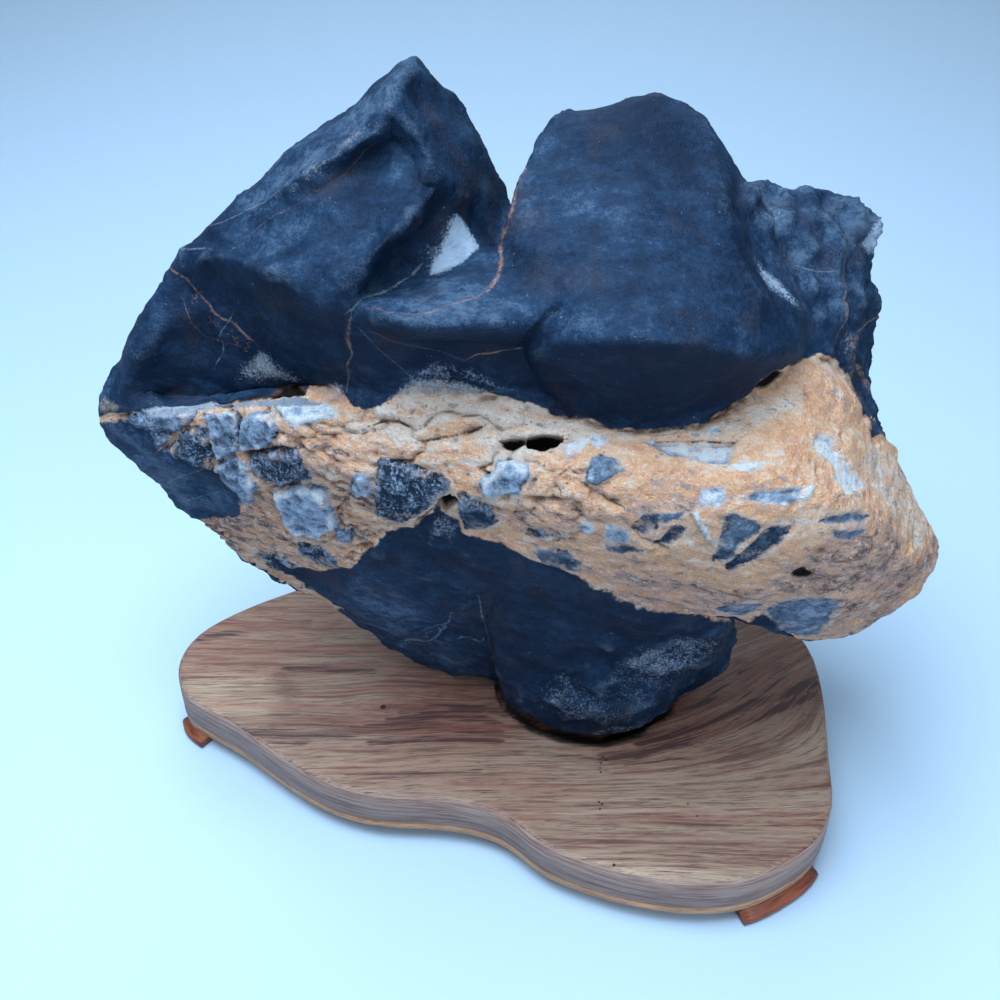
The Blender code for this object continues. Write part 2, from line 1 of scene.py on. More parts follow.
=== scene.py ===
"""A dark limestone scholar's rock with a belt of breccia, on its low wooden stand.

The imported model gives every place. The rock is made from its solid, refined and weathered, and
carries its pebbles, veins and crusts as distances kept on its vertices. Lengths are in
millimetres until they reach a mesh. Outlines and lines on the rock and the plate are drawn in
the camera's frame, 1000 by 1000, and fall on the piece along the camera's rays.
"""

import math

import bpy
import numpy as np
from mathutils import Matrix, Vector, geometry, noise
from mathutils.bvhtree import BVHTree


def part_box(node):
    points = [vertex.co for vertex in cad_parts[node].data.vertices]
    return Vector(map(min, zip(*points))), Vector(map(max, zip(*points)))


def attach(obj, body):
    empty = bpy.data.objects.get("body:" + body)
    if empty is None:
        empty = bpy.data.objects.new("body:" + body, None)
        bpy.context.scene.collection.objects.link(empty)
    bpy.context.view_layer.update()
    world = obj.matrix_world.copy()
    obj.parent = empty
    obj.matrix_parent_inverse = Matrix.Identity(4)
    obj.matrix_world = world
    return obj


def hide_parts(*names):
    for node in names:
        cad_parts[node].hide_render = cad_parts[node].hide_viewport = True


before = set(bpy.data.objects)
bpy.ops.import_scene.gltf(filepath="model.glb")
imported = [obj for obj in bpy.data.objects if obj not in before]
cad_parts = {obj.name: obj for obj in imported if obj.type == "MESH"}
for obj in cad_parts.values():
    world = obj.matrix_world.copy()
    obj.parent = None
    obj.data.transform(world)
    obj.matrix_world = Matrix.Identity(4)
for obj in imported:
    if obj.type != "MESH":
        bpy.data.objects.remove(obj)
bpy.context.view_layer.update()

MM = 0.001

# The camera: where it looks, how far off it is, how far it looks down, and its lens.
CAMERA_TARGET = (-7.1, 0.2, 107.0)
CAMERA_DISTANCE = 360.0
CAMERA_PITCH = math.radians(38)
VIEW_ANGLE = math.radians(45)
SENSOR = 36.0
VIEW_SIZE = 1000.0

# The rock's skin: its grid, how it is softened and flattened between its folds, and how near a
# fold or crease its faces are refined.
VOXEL = 1.7
SOFTENING = 3
FOLD = 0.22
FLATTENING = 5
SETTLING = 8
CREASE = math.cos(math.radians(11))
FACET_FADE = 2.0
EDGE_DRAG = 8
FOLD_REACH = 2.6
SIGHT_CLEARANCE = 0.8
# The rock isn't weathered where it sits in its socket: how high that reaches, and how soon the
# weathering comes in above.
SEAT_TOP = 22.5
SEAT_FADE = 6.0
SMOOTH_ANGLE = math.radians(50)

# The belt of breccia where the camera sees it.
BELT = (
    (60, 440), (110, 412), (139, 411), (183, 408), (222, 399), (262, 395), (300, 394), (312, 384),
    (332, 385), (348, 398), (353, 407), (381, 408), (396, 393), (415, 386), (452, 388), (480, 392),
    (505, 396), (530, 404), (553, 412), (585, 417), (618, 427), (650, 429), (698, 424), (723, 412),
    (744, 399), (757, 384), (776, 371), (795, 361), (815, 354), (832, 358), (846, 376), (858, 398),
    (873, 436), (888, 436), (912, 440), (980, 540), (930, 660), (820, 670), (765, 614),
    (740, 624), (715, 617), (680, 611), (650, 606), (597, 585), (557, 568), (530, 559), (505, 545),
    (484, 540), (463, 533), (456, 520), (438, 509), (417, 524), (388, 533), (366, 552), (350, 568),
    (324, 570), (297, 568), (262, 557), (285, 568), (312, 584), (345, 606), (300, 620), (190, 540),
    (196, 517), (221, 520), (245, 512), (236, 494), (216, 470), (190, 463), (168, 447), (150, 431),
    (128, 418), (95, 424),
)
# The belt's upper and lower edges all round: distance along the rock, height.
BELT_TOP = (
    (-120, 140), (-94, 146), (-60, 156), (-38, 156), (-6, 164), (14, 156), (43, 156), (68, 166),
    (88, 152), (100, 133), (125, 122),
)
BELT_BOTTOM = (
    (-120, 136), (-104, 110), (-90, 82), (-62, 68), (-50, 97), (-27, 124), (1, 114), (35, 97), (66, 96),
    (78, 84), (125, 60),
)

# Pebbles that the camera sees: tone from 0, slate, to 1, white; how far they stand out; outline.
PEBBLES = (
    (0.84, -0.8, ((640, 439), (653, 446), (668, 455), (690, 458), (712, 464), (727, 465), (732, 452),
                  (734, 441), (704, 442), (670, 441))),
    (0.30, 0.4, ((587, 471), (590, 460), (600, 455), (614, 457), (620, 463), (626, 469), (612, 478),
                 (598, 485), (589, 481))),
    (0.62, 0.5, ((481, 478), (494, 473), (498, 463), (510, 459), (525, 464), (529, 474), (522, 482),
                 (518, 491), (500, 494), (484, 496))),
    (0.85, -0.2, ((700, 489), (723, 487), (725, 500), (717, 507), (700, 508))),
    (0.66, -0.3, ((746, 497), (758, 491), (781, 489), (804, 488), (799, 499), (792, 504), (774, 504),
                  (755, 501))),
    (1.0, -0.7, ((814, 443), (818, 433), (830, 438), (848, 463), (867, 486), (845, 495), (838, 479),
                 (832, 461), (818, 452))),
    (0.36, -0.4, ((724, 516), (733, 514), (752, 521), (767, 528), (752, 537), (736, 550), (728, 562),
                  (707, 562), (716, 553), (720, 537))),
    (0.20, -0.4, ((797, 527), (781, 541), (768, 554), (752, 564), (727, 571), (724, 566), (742, 553),
                  (755, 541), (768, 528))),
    (0.50, -0.4, ((814, 521), (835, 516), (858, 511), (872, 515), (866, 522), (842, 524))),
    (0.42, -0.3, ((832, 530), (848, 531), (868, 529), (861, 536), (848, 541), (835, 538))),
    (0.20, -0.3, ((630, 527), (643, 516), (658, 513), (662, 518), (657, 530), (643, 535), (630, 533))),
    (0.46, -0.3, ((660, 514), (686, 513), (680, 519), (665, 524), (660, 523))),
    (0.16, -0.3, ((662, 536), (672, 526), (688, 527), (680, 537), (669, 543), (654, 545))),
    (0.70, -0.2, ((604, 527), (622, 526), (629, 536), (628, 543), (606, 545))),
    (0.30, -0.2, ((606, 546), (628, 546), (645, 552), (620, 554), (607, 553))),
    (0.18, -0.2, ((525, 530), (544, 532), (566, 537), (566, 541), (544, 536), (526, 536))),
    (0.26, 0.5, ((531, 549), (550, 547), (568, 551), (580, 564), (585, 571), (566, 568), (545, 564))),
    (0.45, -0.2, ((716, 607), (742, 603), (764, 606), (741, 618), (722, 613))),
    (0.48, -0.3, ((765, 610), (787, 601), (813, 598), (842, 599), (834, 613), (826, 626), (819, 636),
                  (787, 637), (774, 627))),
    (0.34, 0.5, ((128, 413), (160, 411), (196, 412), (190, 422), (172, 434), (162, 448), (148, 442),
                 (134, 428))),
    (0.14, 0.7, ((170, 448), (182, 434), (200, 425), (208, 432), (212, 456), (214, 476), (200, 480),
                 (184, 466))),
    (0.52, 0.5, ((206, 414), (236, 413), (240, 430), (238, 450), (218, 460), (211, 440))),
    (0.55, 0.7, ((242, 420), (254, 413), (270, 413), (277, 428), (270, 443), (256, 452), (242, 448))),
    (0.50, 0.5, ((214, 464), (236, 457), (248, 468), (256, 484), (252, 502), (236, 502), (222, 488))),
    (0.14, 0.4, ((249, 454), (270, 451), (297, 452), (303, 466), (312, 478), (286, 484), (260, 478),
                 (250, 468))),
    (0.70, 1.0, ((274, 492), (290, 489), (310, 486), (326, 492), (334, 512), (337, 526), (318, 534),
                 (298, 532), (282, 516))),
    (0.34, 0.3, ((337, 528), (352, 534), (350, 541), (338, 539))),
    (0.88, 0.4, ((273, 404), (300, 402), (327, 404), (335, 414), (322, 420), (296, 426), (282, 416))),
    (0.62, 0.3, ((349, 492), (356, 474), (366, 474), (372, 486), (370, 497), (356, 498))),
    (0.08, 0.6, ((377, 462), (384, 459), (410, 465), (440, 476), (452, 484), (440, 500), (420, 510),
                 (397, 521), (376, 512))),
    (0.16, 0.4, ((458, 494), (480, 500), (491, 508), (498, 522), (484, 530), (464, 530), (459, 512))),
    (0.10, 0.2, ((258, 553), (276, 554), (297, 566), (300, 570), (276, 566))),
    (0.20, 0.3, ((300, 541), (330, 552), (336, 562), (318, 561), (300, 552))),
    (0.98, 0.9, ((689, 507), (695, 508), (706, 526), (713, 538), (707, 540), (698, 524))),
    (0.90, 0.2, ((563, 446), (575, 440), (588, 441), (580, 452), (568, 455))),
    (0.86, -0.2, ((590, 437), (600, 434), (611, 438), (604, 445), (594, 447))),
    (0.84, 0.1, ((578, 528), (588, 523), (596, 529), (590, 534), (581, 533))),
    (0.80, 0.1, ((705, 428), (716, 426), (720, 432), (710, 436))),
    (0.90, 0.3, ((728, 466), (746, 463), (764, 464), (758, 471), (738, 472))),
    (0.86, 0.2, ((806, 488), (816, 484), (812, 496), (800, 504), (801, 498))),
)

# The cement between the pebbles: shade from 0, cream, over tan and orange to 1, brown; fade; outline.
CEMENT_SHADES = (
    (0.46, 5.0, ((640, 430), (744, 432), (806, 400), (860, 430), (900, 480), (920, 540), (800, 560),
                 (640, 552), (600, 500), (610, 460))),
    (0.80, 7.0, ((590, 556), (660, 566), (720, 580), (780, 566), (850, 530), (905, 490), (930, 520),
                 (945, 556), (900, 620), (840, 645), (765, 612), (650, 608))),
    (0.12, 3.0, ((371, 409), (420, 384), (500, 388), (560, 410), (650, 430), (740, 418), (790, 392),
                 (800, 410), (744, 432), (700, 438), (640, 437), (600, 450), (560, 464), (500, 460),
                 (440, 452), (400, 446))),
    (0.16, 3.0, ((470, 455), (500, 455), (560, 462), (600, 486), (612, 500), (590, 502), (560, 484),
                 (520, 500), (490, 500))),
    (0.14, 3.0, ((862, 440), (884, 446), (905, 478), (930, 530), (915, 560), (895, 520), (876, 482))),
    (0.58, 2.5, ((806, 392), (828, 384), (850, 400), (862, 424), (846, 432), (822, 424), (806, 412))),
    (0.56, 4.0, ((560, 470), (590, 452), (640, 446), (670, 462), (730, 470), (800, 456), (836, 484),
                 (838, 500), (780, 512), (700, 512), (640, 510), (590, 506), (566, 490))),
    (0.58, 2.5, ((500, 512), (540, 508), (572, 514), (600, 544), (640, 560), (700, 568), (690, 580),
                 (610, 570), (560, 552), (520, 544))),
    (0.64, 4.0, ((128, 412), (330, 434), (376, 470), (376, 520), (340, 560), (250, 540), (200, 500),
                 (150, 450))),
    (0.62, 1.5, ((331, 408), (346, 400), (368, 406), (375, 416), (352, 420), (336, 422))),
    (0.60, 1.2, ((433, 424), (452, 418), (480, 420), (470, 430), (448, 434))),
    (0.60, 1.2, ((466, 470), (488, 462), (497, 464), (484, 478), (484, 492), (470, 482))),
    (0.62, 1.2, ((133, 411), (145, 412), (144, 420), (134, 417))),
    (0.64, 1.0, ((214, 408), (236, 406), (262, 406), (262, 412), (238, 412), (216, 413))),
    (0.64, 2.0, ((300, 440), (330, 446), (370, 456), (356, 474), (330, 470), (306, 462))),
    (0.66, 2.0, ((233, 526), (256, 536), (300, 556), (342, 562), (338, 570), (300, 566), (262, 548),
                 (236, 536))),
    (0.86, 3.0, ((198, 518), (228, 520), (252, 506), (256, 530), (240, 546), (210, 536))),
    (0.80, 3.0, ((240, 470), (262, 486), (276, 520), (262, 530), (244, 506))),
)
HIDDEN_CEMENT = 0.45

# Lines on the rock, each with its half width and how strongly it shows.
ORANGE_VEINS = (
    (0.60, 1.0, ((524, 168), (515, 189), (511, 215), (506, 230), (502, 247), (503, 262), (498, 277),
                 (488, 288))),
    (0.24, 0.65, ((488, 288), (476, 298), (455, 306), (432, 313), (414, 316))),
    (0.15, 0.40, ((414, 316), (388, 314), (368, 309))),
    (0.34, 0.75, ((180, 272), (190, 278), (200, 290), (206, 298), (214, 304), (218, 312), (227, 319),
                  (236, 322), (243, 331), (252, 340))),
    (0.16, 0.45, ((187, 300), (193, 322), (203, 336), (222, 340), (240, 346))),
    (0.14, 0.35, ((244, 238), (268, 222), (300, 204), (323, 187), (344, 175), (362, 160), (373, 144))),
    (0.22, 0.8, ((468, 360), (476, 354), (491, 351), (509, 346), (518, 344))),
    (0.16, 0.3, ((373, 327), (403, 342), (432, 352), (467, 362))),
    (0.30, 0.7, ((352, 312), (350, 333), (353, 346))),
    (0.26, 0.6, ((353, 350), (349, 362), (350, 374), (346, 389))),
    (0.40, 0.8, ((835, 253), (838, 279), (835, 303), (838, 323), (832, 344))),
    (0.36, 0.8, ((872, 316), (862, 325), (852, 332), (846, 346), (852, 366), (861, 381), (868, 400))),
    (0.80, 0.9, ((166, 444), (176, 434), (184, 428), (197, 419))),
    (0.90, 0.8, ((202, 432), (206, 446))),
    (0.22, 0.5, ((186, 252), (200, 238), (206, 230))),
)
PALE_VEINS = (
    (0.34, 0.9, ((352, 306), (362, 300), (373, 296), (391, 289), (411, 276), (420, 266))),
    (0.13, 0.4, ((359, 319), (385, 351), (423, 389))),
    (0.16, 0.5, ((216, 229), (236, 219), (257, 207), (282, 190), (299, 175), (313, 160))),
    (0.22, 0.7, ((233, 316), (227, 325), (221, 334))),
    (0.24, 0.7, ((225, 340), (224, 352), (218, 362))),
    (0.34, 0.8, ((405, 641), (420, 642), (436, 638), (446, 628), (451, 614))),
    (0.28, 0.7, ((424, 630), (436, 628), (447, 624))),
    (0.28, 0.7, ((460, 637), (470, 636), (478, 639))),
    (0.22, 0.7, ((479, 600), (482, 620), (487, 640), (491, 659))),
    (0.25, 0.6, ((171, 479), (186, 475), (201, 469), (221, 463))),
    (0.20, 0.5, ((189, 497), (204, 497), (218, 493))),
    (0.22, 0.7, ((797, 266), (810, 272), (822, 274))),
    (0.30, 0.7, ((176, 262), (186, 254), (200, 250), (210, 251))),
)
# Cracks and the shadow lines under ledges, carved in and painted near black as painted shadow: half width,
# how strongly it shows, line.
CRACKS_AND_SHADOW_LINES = (
    (0.50, 1.0, ((222, 399), (244, 396), (262, 393), (280, 391))),
    (0.35, 1.0, ((555, 309), (545, 320), (530, 333), (522, 340))),
    (0.45, 1.0, ((423, 441), (450, 436), (468, 431), (482, 426))),
    (0.40, 1.0, ((367, 427), (384, 420), (398, 421), (412, 428))),
    (0.40, 0.8, ((496, 596), (483, 625), (491, 660), (496, 680))),
    (0.35, 0.8, ((553, 410), (585, 419), (618, 429), (650, 431), (698, 426), (723, 414), (744, 401))),
    (0.35, 0.8, ((586, 486), (598, 494), (608, 502), (621, 508))),
    (0.30, 0.9, ((659, 439), (700, 439), (734, 440))),
    (0.45, 0.9, ((418, 520), (430, 512), (440, 506))),
    (0.40, 0.8, ((348, 498), (336, 512), (342, 526))),
    (0.40, 0.8, ((246, 454), (276, 450), (300, 450))),
    (0.45, 0.8, ((272, 488), (300, 484), (326, 490))),
    (0.35, 0.7, ((620, 520), (640, 538), (664, 548))),
    (0.35, 0.7, ((566, 470), (552, 480), (560, 492))),
)
CRACK_DEPTH = 1.3

# The smooth pale tongue of limestone under the belt's left end.
TONGUE = (
    (95, 420), (122, 410), (166, 446), (196, 470), (236, 500), (241, 508), (228, 522), (190, 516),
    (150, 480), (110, 440),
)

# Holes and slits: depth and outline.
HOLES = (
    (7.0, ((528, 438), (544, 435), (563, 437), (557, 444), (544, 448), (528, 446))),
    (4.0, ((501, 440), (512, 437), (524, 438), (527, 442), (515, 447), (506, 446))),
    (6.0, ((438, 507), (443, 499), (457, 498), (456, 505), (446, 510))),
    (3.0, ((270, 391), (282, 387), (294, 385), (304, 388), (304, 393), (290, 395), (280, 395))),
    (1.4, ((753, 390), (764, 380), (776, 371), (782, 373), (774, 381), (764, 388))),
    (1.6, ((792, 573), (802, 569), (813, 574), (806, 579), (795, 579))),
)

# Pale dust and crusts: how strong, how warm (0 blue-white, 1 tan), how far the edge fades, outline.
DUSTED = (
    (0.97, 0.0, 1.6, ((454, 210), (462, 216), (471, 231), (480, 254), (464, 266), (446, 274), (426, 277),
                      (432, 262), (442, 240))),
    (0.80, 0.1, 4.0, ((450, 208), (462, 220), (474, 254), (456, 268), (432, 278), (416, 280), (424, 262),
                      (436, 236))),
    (0.60, 0.0, 5.0, ((440, 214), (452, 210), (462, 224), (440, 258), (418, 280), (396, 290), (408, 262))),
    (0.50, 0.8, 2.0, ((352, 306), (362, 292), (392, 282), (416, 272), (420, 280), (396, 294), (370, 303))),
    (0.78, 0.5, 3.0, ((378, 405), (396, 385), (418, 376), (446, 374), (470, 378), (500, 390), (486, 398),
                      (450, 400), (410, 400))),
    (0.62, 0.1, 3.0, ((386, 392), (410, 368), (436, 357), (470, 361), (504, 376), (541, 396), (556, 414),
                      (520, 400), (470, 384), (420, 384))),
    (0.72, 0.3, 4.0, ((228, 381), (240, 360), (262, 345), (280, 358), (300, 372), (322, 384), (338, 372),
                      (346, 384), (350, 400), (329, 404), (304, 386), (262, 386))),
    (0.55, 0.2, 3.0, ((214, 350), (226, 324), (240, 326), (234, 346), (222, 362))),
    (0.92, 0.25, 1.0, ((140, 408), (200, 401), (252, 397), (306, 396), (326, 404), (312, 408), (252, 407),
                       (206, 412), (150, 417))),
    (0.52, 0.1, 5.0, ((520, 690), (556, 668), (596, 672), (622, 650), (668, 634), (722, 622), (738, 634),
                      (716, 660), (680, 690), (650, 712), (610, 730), (566, 728), (536, 712))),
    (0.58, 0.1, 8.0, ((528, 690), (556, 664), (600, 672), (612, 700), (600, 726), (560, 728), (536, 712))),
    (0.64, 0.1, 7.0, ((604, 664), (626, 642), (668, 632), (722, 622), (736, 634), (716, 656), (694, 672),
                      (672, 686), (650, 696), (624, 684))),
    (0.60, 0.3, 2.0, ((568, 734), (600, 726), (650, 708), (676, 690), (652, 716), (624, 730), (596, 738))),
    (0.80, 0.0, 3.0, ((752, 250), (764, 258), (780, 278), (794, 304), (800, 322), (784, 310), (766, 294),
                      (756, 276))),
    (0.35, 0.0, 3.0, ((736, 214), (748, 244), (768, 276), (800, 318), (806, 350), (790, 330), (760, 290),
                      (740, 250))),
    (0.55, 0.0, 3.0, ((741, 191), (756, 203), (773, 203), (786, 216), (790, 240), (779, 247), (759, 230),
                      (744, 218))),
    (0.45, 0.9, 1.5, ((770, 214), (780, 210), (788, 222), (778, 232))),
    (0.80, 0.0, 1.5, ((858, 246), (862, 232), (872, 222), (880, 221), (884, 228), (880, 250), (868, 258))),
    (0.60, 0.9, 2.5, ((838, 328), (850, 332), (856, 350), (852, 376), (862, 400), (850, 400), (836, 372))),
    (0.50, 0.5, 2.0, ((850, 352), (866, 340), (872, 330), (874, 344), (862, 362), (868, 392), (856, 390))),
    (0.70, 0.9, 2.0, ((95, 402), (108, 394), (124, 400), (130, 408), (118, 416), (100, 414))),
    (0.62, 0.4, 3.0, ((430, 512), (448, 508), (462, 524), (458, 545), (448, 556), (440, 540), (428, 560),
                      (420, 590), (424, 540))),
    (0.46, 0.1, 3.0, ((440, 590), (456, 600), (450, 616), (430, 634), (410, 642), (418, 626), (436, 614))),
    (0.55, 0.9, 2.5, ((268, 566), (296, 574), (336, 600), (380, 640), (350, 622), (300, 592))),
    (0.56, 0.9, 4.0, ((230, 228), (262, 196), (320, 146), (380, 104), (386, 128), (350, 160), (310, 190),
                      (262, 222))),
    (0.42, 0.3, 4.0, ((800, 190), (850, 206), (880, 226), (866, 260), (846, 300), (836, 262), (812, 224))),
    (0.46, 0.2, 3.0, TONGUE),
    (0.40, 0.0, 4.0, ((544, 312), (570, 306), (620, 322), (600, 336), (560, 338), (546, 334))),
)

# The left peak's facets: where they reach, and lines of their corners, each with its depth in
# millimetres along the view.
PEAK = (
    (413, 66), (425, 84), (438, 110), (452, 140), (466, 168), (478, 196), (470, 202), (456, 196),
    (443, 182), (436, 190), (416, 210), (390, 236), (372, 256), (358, 268), (350, 280), (357, 300),
    (357, 330), (356, 357), (350, 384), (330, 394), (310, 392), (290, 393), (262, 396), (230, 401),
    (200, 404), (165, 405), (135, 405), (128, 390), (131, 378), (144, 356), (163, 331), (175, 308),
    (181, 285), (182, 268), (195, 256), (205, 250), (212, 240), (232, 222), (250, 205), (280, 180),
    (310, 150), (340, 128), (370, 100), (392, 78),
)
PEAK_CORNERS = (
    ((404, 76, 291), (393, 92, 288.5), (389, 112, 287.5), (377, 131, 287.5), (352, 147, 288.5),
     (333, 158, 291), (313, 168, 294), (290, 183, 298), (262, 203, 303.5), (244, 218, 308.5)),
    ((392, 140, 293), (370, 160, 293.5), (345, 176, 294.5), (322, 190, 296), (300, 206, 298.5),
     (274, 224, 301.5)),
    ((398, 100, 288.3), (405, 122, 288.3), (420, 140, 288.8), (430, 158, 289.5), (438, 178, 290.5)),
    ((412, 160, 292.5), (395, 168, 291.5), (378, 186, 292.5)),
    ((420, 184, 290.5), (404, 196, 289.5), (380, 212, 290), (350, 222, 291), (320, 236, 292.5),
     (290, 248, 296)),
    ((378, 236, 287.5), (356, 252, 287.5), (328, 266, 288.5), (300, 270, 291.5)),
    ((205, 258, 313), (219, 256, 308.5), (244, 263, 302), (267, 272, 296.5), (290, 277, 292.5),
     (303, 290, 290.5), (322, 300, 290), (350, 305, 289.5)),
    ((352, 318, 293.5), (352, 333, 298.5), (351, 357, 305.5), (346, 380, 313.5)),
    ((192, 290, 322.5), (210, 296, 321), (240, 308, 315), (270, 310, 308.5), (300, 322, 303.5),
     (332, 330, 302)),
    ((182, 320, 326), (172, 345, 330), (150, 372, 334), (148, 392, 338)),
    ((200, 340, 329), (235, 350, 325), (262, 350, 320.5), (300, 356, 315), (332, 362, 311)),
    ((190, 376, 335), (230, 384, 332), (262, 383, 330), (310, 382, 322)),
    ((165, 397, 340), (205, 397, 337), (262, 388, 331.5), (310, 386, 323.5), (335, 388, 319)),
)

# Painted shade (-) and painted light (+) on the limestone, partly its own tone: how much, how far the edge
# fades, outline.
PAINTED_LIGHT_AND_TONES = (
    (-0.35, 4.0, ((340, 165), (388, 122), (405, 132), (434, 172), (428, 190), (402, 214), (370, 214),
                  (345, 198))),
    (0.45, 4.0, ((386, 160), (402, 148), (418, 164), (406, 182), (388, 176))),
    (0.1, 2.5, ((440, 188), (455, 205), (450, 222), (420, 258), (385, 280), (362, 274), (392, 242),
                 (418, 214))),
    (-0.6, 1.5, ((468, 203), (480, 207), (497, 228), (500, 250), (490, 262), (480, 238))),
    (-0.55, 1.2, ((178, 264), (205, 256), (244, 264), (290, 280), (305, 300), (352, 310), (352, 340),
                  (345, 376), (305, 376), (250, 378), (150, 402), (126, 400), (128, 380), (160, 332),
                  (176, 300))),
    (-0.6, 1.2, ((356, 318), (410, 330), (530, 330), (552, 315), (560, 345), (590, 345), (600, 400),
                 (560, 405), (520, 385), (470, 366), (400, 372), (380, 385), (354, 376))),
    (0.35, 2.5, ((173, 262), (160, 300), (140, 340), (112, 372), (96, 398), (122, 396), (130, 375),
                 (160, 330), (176, 300))),
    (-0.90, 9.0, ((548, 170), (570, 112), (640, 94), (700, 120), (716, 190), (690, 210), (620, 190),
                  (560, 205))),
    (-0.50, 2.5, ((500, 236), (514, 224), (552, 262), (556, 284), (530, 292), (504, 280))),
    (-0.30, 5.0, ((500, 600), (560, 584), (640, 616), (740, 630), (716, 650), (640, 650), (560, 690),
                  (506, 680))),
    (-0.40, 9.0, ((560, 250), (650, 242), (715, 262), (716, 320), (690, 332), (620, 336), (580, 300))),
    (0.45, 12.0, ((540, 180), (640, 172), (712, 180), (716, 236), (640, 246), (560, 246), (520, 236))),
    (0.35, 5.0, ((545, 322), (560, 304), (600, 312), (650, 322), (700, 330), (690, 340), (620, 338),
                 (560, 344))),
    (-0.65, 4.0, ((716, 130), (740, 200), (746, 262), (790, 320), (800, 350), (760, 350), (730, 300),
                  (716, 210))),
    (-0.4, 1.5, ((392, 140), (412, 160), (430, 158), (438, 178), (420, 184), (404, 196), (380, 212),
                 (350, 222), (322, 190), (345, 176), (370, 160))),
    (0.7, 3.0, ((388, 168), (404, 156), (418, 166), (408, 184), (392, 182))),
    (-0.5, 2.0, ((378, 236), (404, 196), (420, 184), (438, 178), (446, 196), (420, 226), (380, 262),
                 (356, 270))),
    (-0.4, 1.5, ((290, 248), (320, 236), (350, 222), (330, 246), (300, 262), (276, 262))),
    (0.35, 6.0, ((250, 240), (330, 200), (380, 150), (430, 180), (400, 240), (350, 280), (300, 290),
                 (240, 262))),
    (0.90, 3.0, ((244, 214), (250, 203), (313, 148), (392, 80), (404, 76), (389, 112), (377, 131),
                 (333, 158), (290, 183))),
    (0.85, 5.0, ((744, 190), (800, 186), (860, 210), (884, 216), (876, 262), (872, 320), (840, 344),
                 (822, 330), (800, 296), (770, 250))),
    (1.5, 3.0, TONGUE),
    (1.2, 6.0, ((300, 596), (360, 566), (420, 600), (490, 680), (440, 676), (360, 630))),
    (-0.6, 1.2, ((590, 342), (650, 344), (700, 348), (760, 360), (752, 386), (700, 410), (640, 424),
                 (600, 414))),
    (0.9, 3.0, ((372, 296), (410, 284), (470, 284), (496, 284), (530, 310), (470, 322), (410, 320),
                (372, 312))),
    (-0.05, 1.5, ((395, 84), (425, 84), (452, 130), (470, 176), (460, 196), (436, 170), (410, 122))),
)

# Where fine rusty veins make a net.
NETWORK = (
    (178, 268), (206, 280), (236, 308), (262, 330), (270, 352), (250, 366), (226, 350), (200, 340),
    (184, 310),
)
# The boulder, which is smooth, and the part of the belt that is full of crevices.
BOULDER = (
    (505, 280), (520, 170), (560, 110), (640, 92), (700, 120), (722, 200), (742, 280), (806, 340),
    (790, 365), (700, 420), (600, 415), (560, 350), (552, 300),
)
CREVICED = (
    (100, 400), (240, 385), (380, 400), (480, 395), (560, 420), (600, 470), (610, 520), (560, 545),
    (450, 500), (380, 560), (300, 600), (200, 540),
)

# Edges (+) and grooves (-) in the rock's form: height, reach to each side and line.
RIDGES = (
    (1.0, 2.5, ((173, 261), (186, 254), (200, 250), (219, 254), (244, 262), (267, 272), (290, 277))),
    (1.3, 3.0, ((174, 264), (177, 285), (172, 310), (160, 331), (140, 356))),
    (1.2, 2.5, ((229, 238), (212, 232), (204, 228), (196, 240), (186, 252))),
    (-0.9, 2.0, ((212, 240), (222, 246), (230, 256))),
    (1.5, 4.0, ((417, 57), (408, 68), (404, 76), (393, 92), (389, 112))),
    (0.9, 2.5, ((541, 346), (570, 339), (599, 338), (650, 340), (700, 344), (726, 350), (760, 354),
                (790, 358))),
    (0.7, 2.0, ((353, 313), (364, 315), (390, 319), (410, 324), (466, 326), (530, 325), (552, 311))),
    (1.4, 3.5, ((700, 118), (712, 168), (721, 201), (727, 235), (738, 262), (748, 290), (760, 300))),
    (-1.0, 2.5, ((558, 262), (552, 284), (556, 300), (552, 312))),
    (1.0, 3.0, ((381, 410), (384, 392), (376, 372), (352, 352), (350, 330), (354, 314))),
    (1.4, 2.6, ((746, 208), (756, 192), (770, 186), (784, 196), (790, 214))),
    (-1.6, 2.0, ((790, 198), (796, 216), (790, 240), (800, 262))),
    (1.4, 2.4, ((798, 200), (812, 214), (826, 232), (832, 250))),
    (-1.5, 2.0, ((826, 206), (838, 228), (846, 250), (844, 290))),
    (1.2, 2.4, ((846, 212), (858, 236), (856, 262), (850, 300))),
    (-1.3, 1.8, ((752, 222), (764, 238), (776, 262))),
    (-1.2, 3.0, ((752, 206), (768, 224), (778, 252))),
    (0.9, 2.5, ((786, 196), (800, 220), (822, 240), (832, 262))),
    (-1.0, 2.5, ((793, 262), (803, 272), (822, 276))),
    (1.0, 2.5, ((832, 255), (836, 290), (836, 330), (828, 352))),
    (-0.9, 2.0, ((855, 245), (868, 238), (880, 242))),
    (-1.5, 3.0, ((458, 537), (450, 556), (447, 568), (441, 585), (450, 603), (447, 615), (438, 632))),
    (-1.1, 3.0, ((484, 590), (484, 620), (489, 650), (494, 668))),
    (1.0, 3.0, ((515, 583), (540, 578), (560, 590), (600, 603), (640, 617), (690, 627), (735, 628))),
    (-1.8, 1.8, ((622, 700), (634, 676), (660, 660), (692, 650))),
    (1.2, 1.8, ((636, 690), (660, 672), (690, 660), (722, 640))),
    (-1.8, 1.8, ((652, 704), (676, 684), (708, 664))),
    (1.0, 2.0, ((540, 716), (580, 712), (616, 706), (640, 700))),
    (-1.4, 3.0, ((600, 655), (640, 640), (690, 640), (728, 632))),
    (0.9, 3.0, ((300, 590), (330, 604), (352, 590), (374, 560), (400, 540), (430, 520))),
    (1.2, 3.5, ((237, 555), (262, 575), (300, 594), (345, 614), (392, 648))),
)

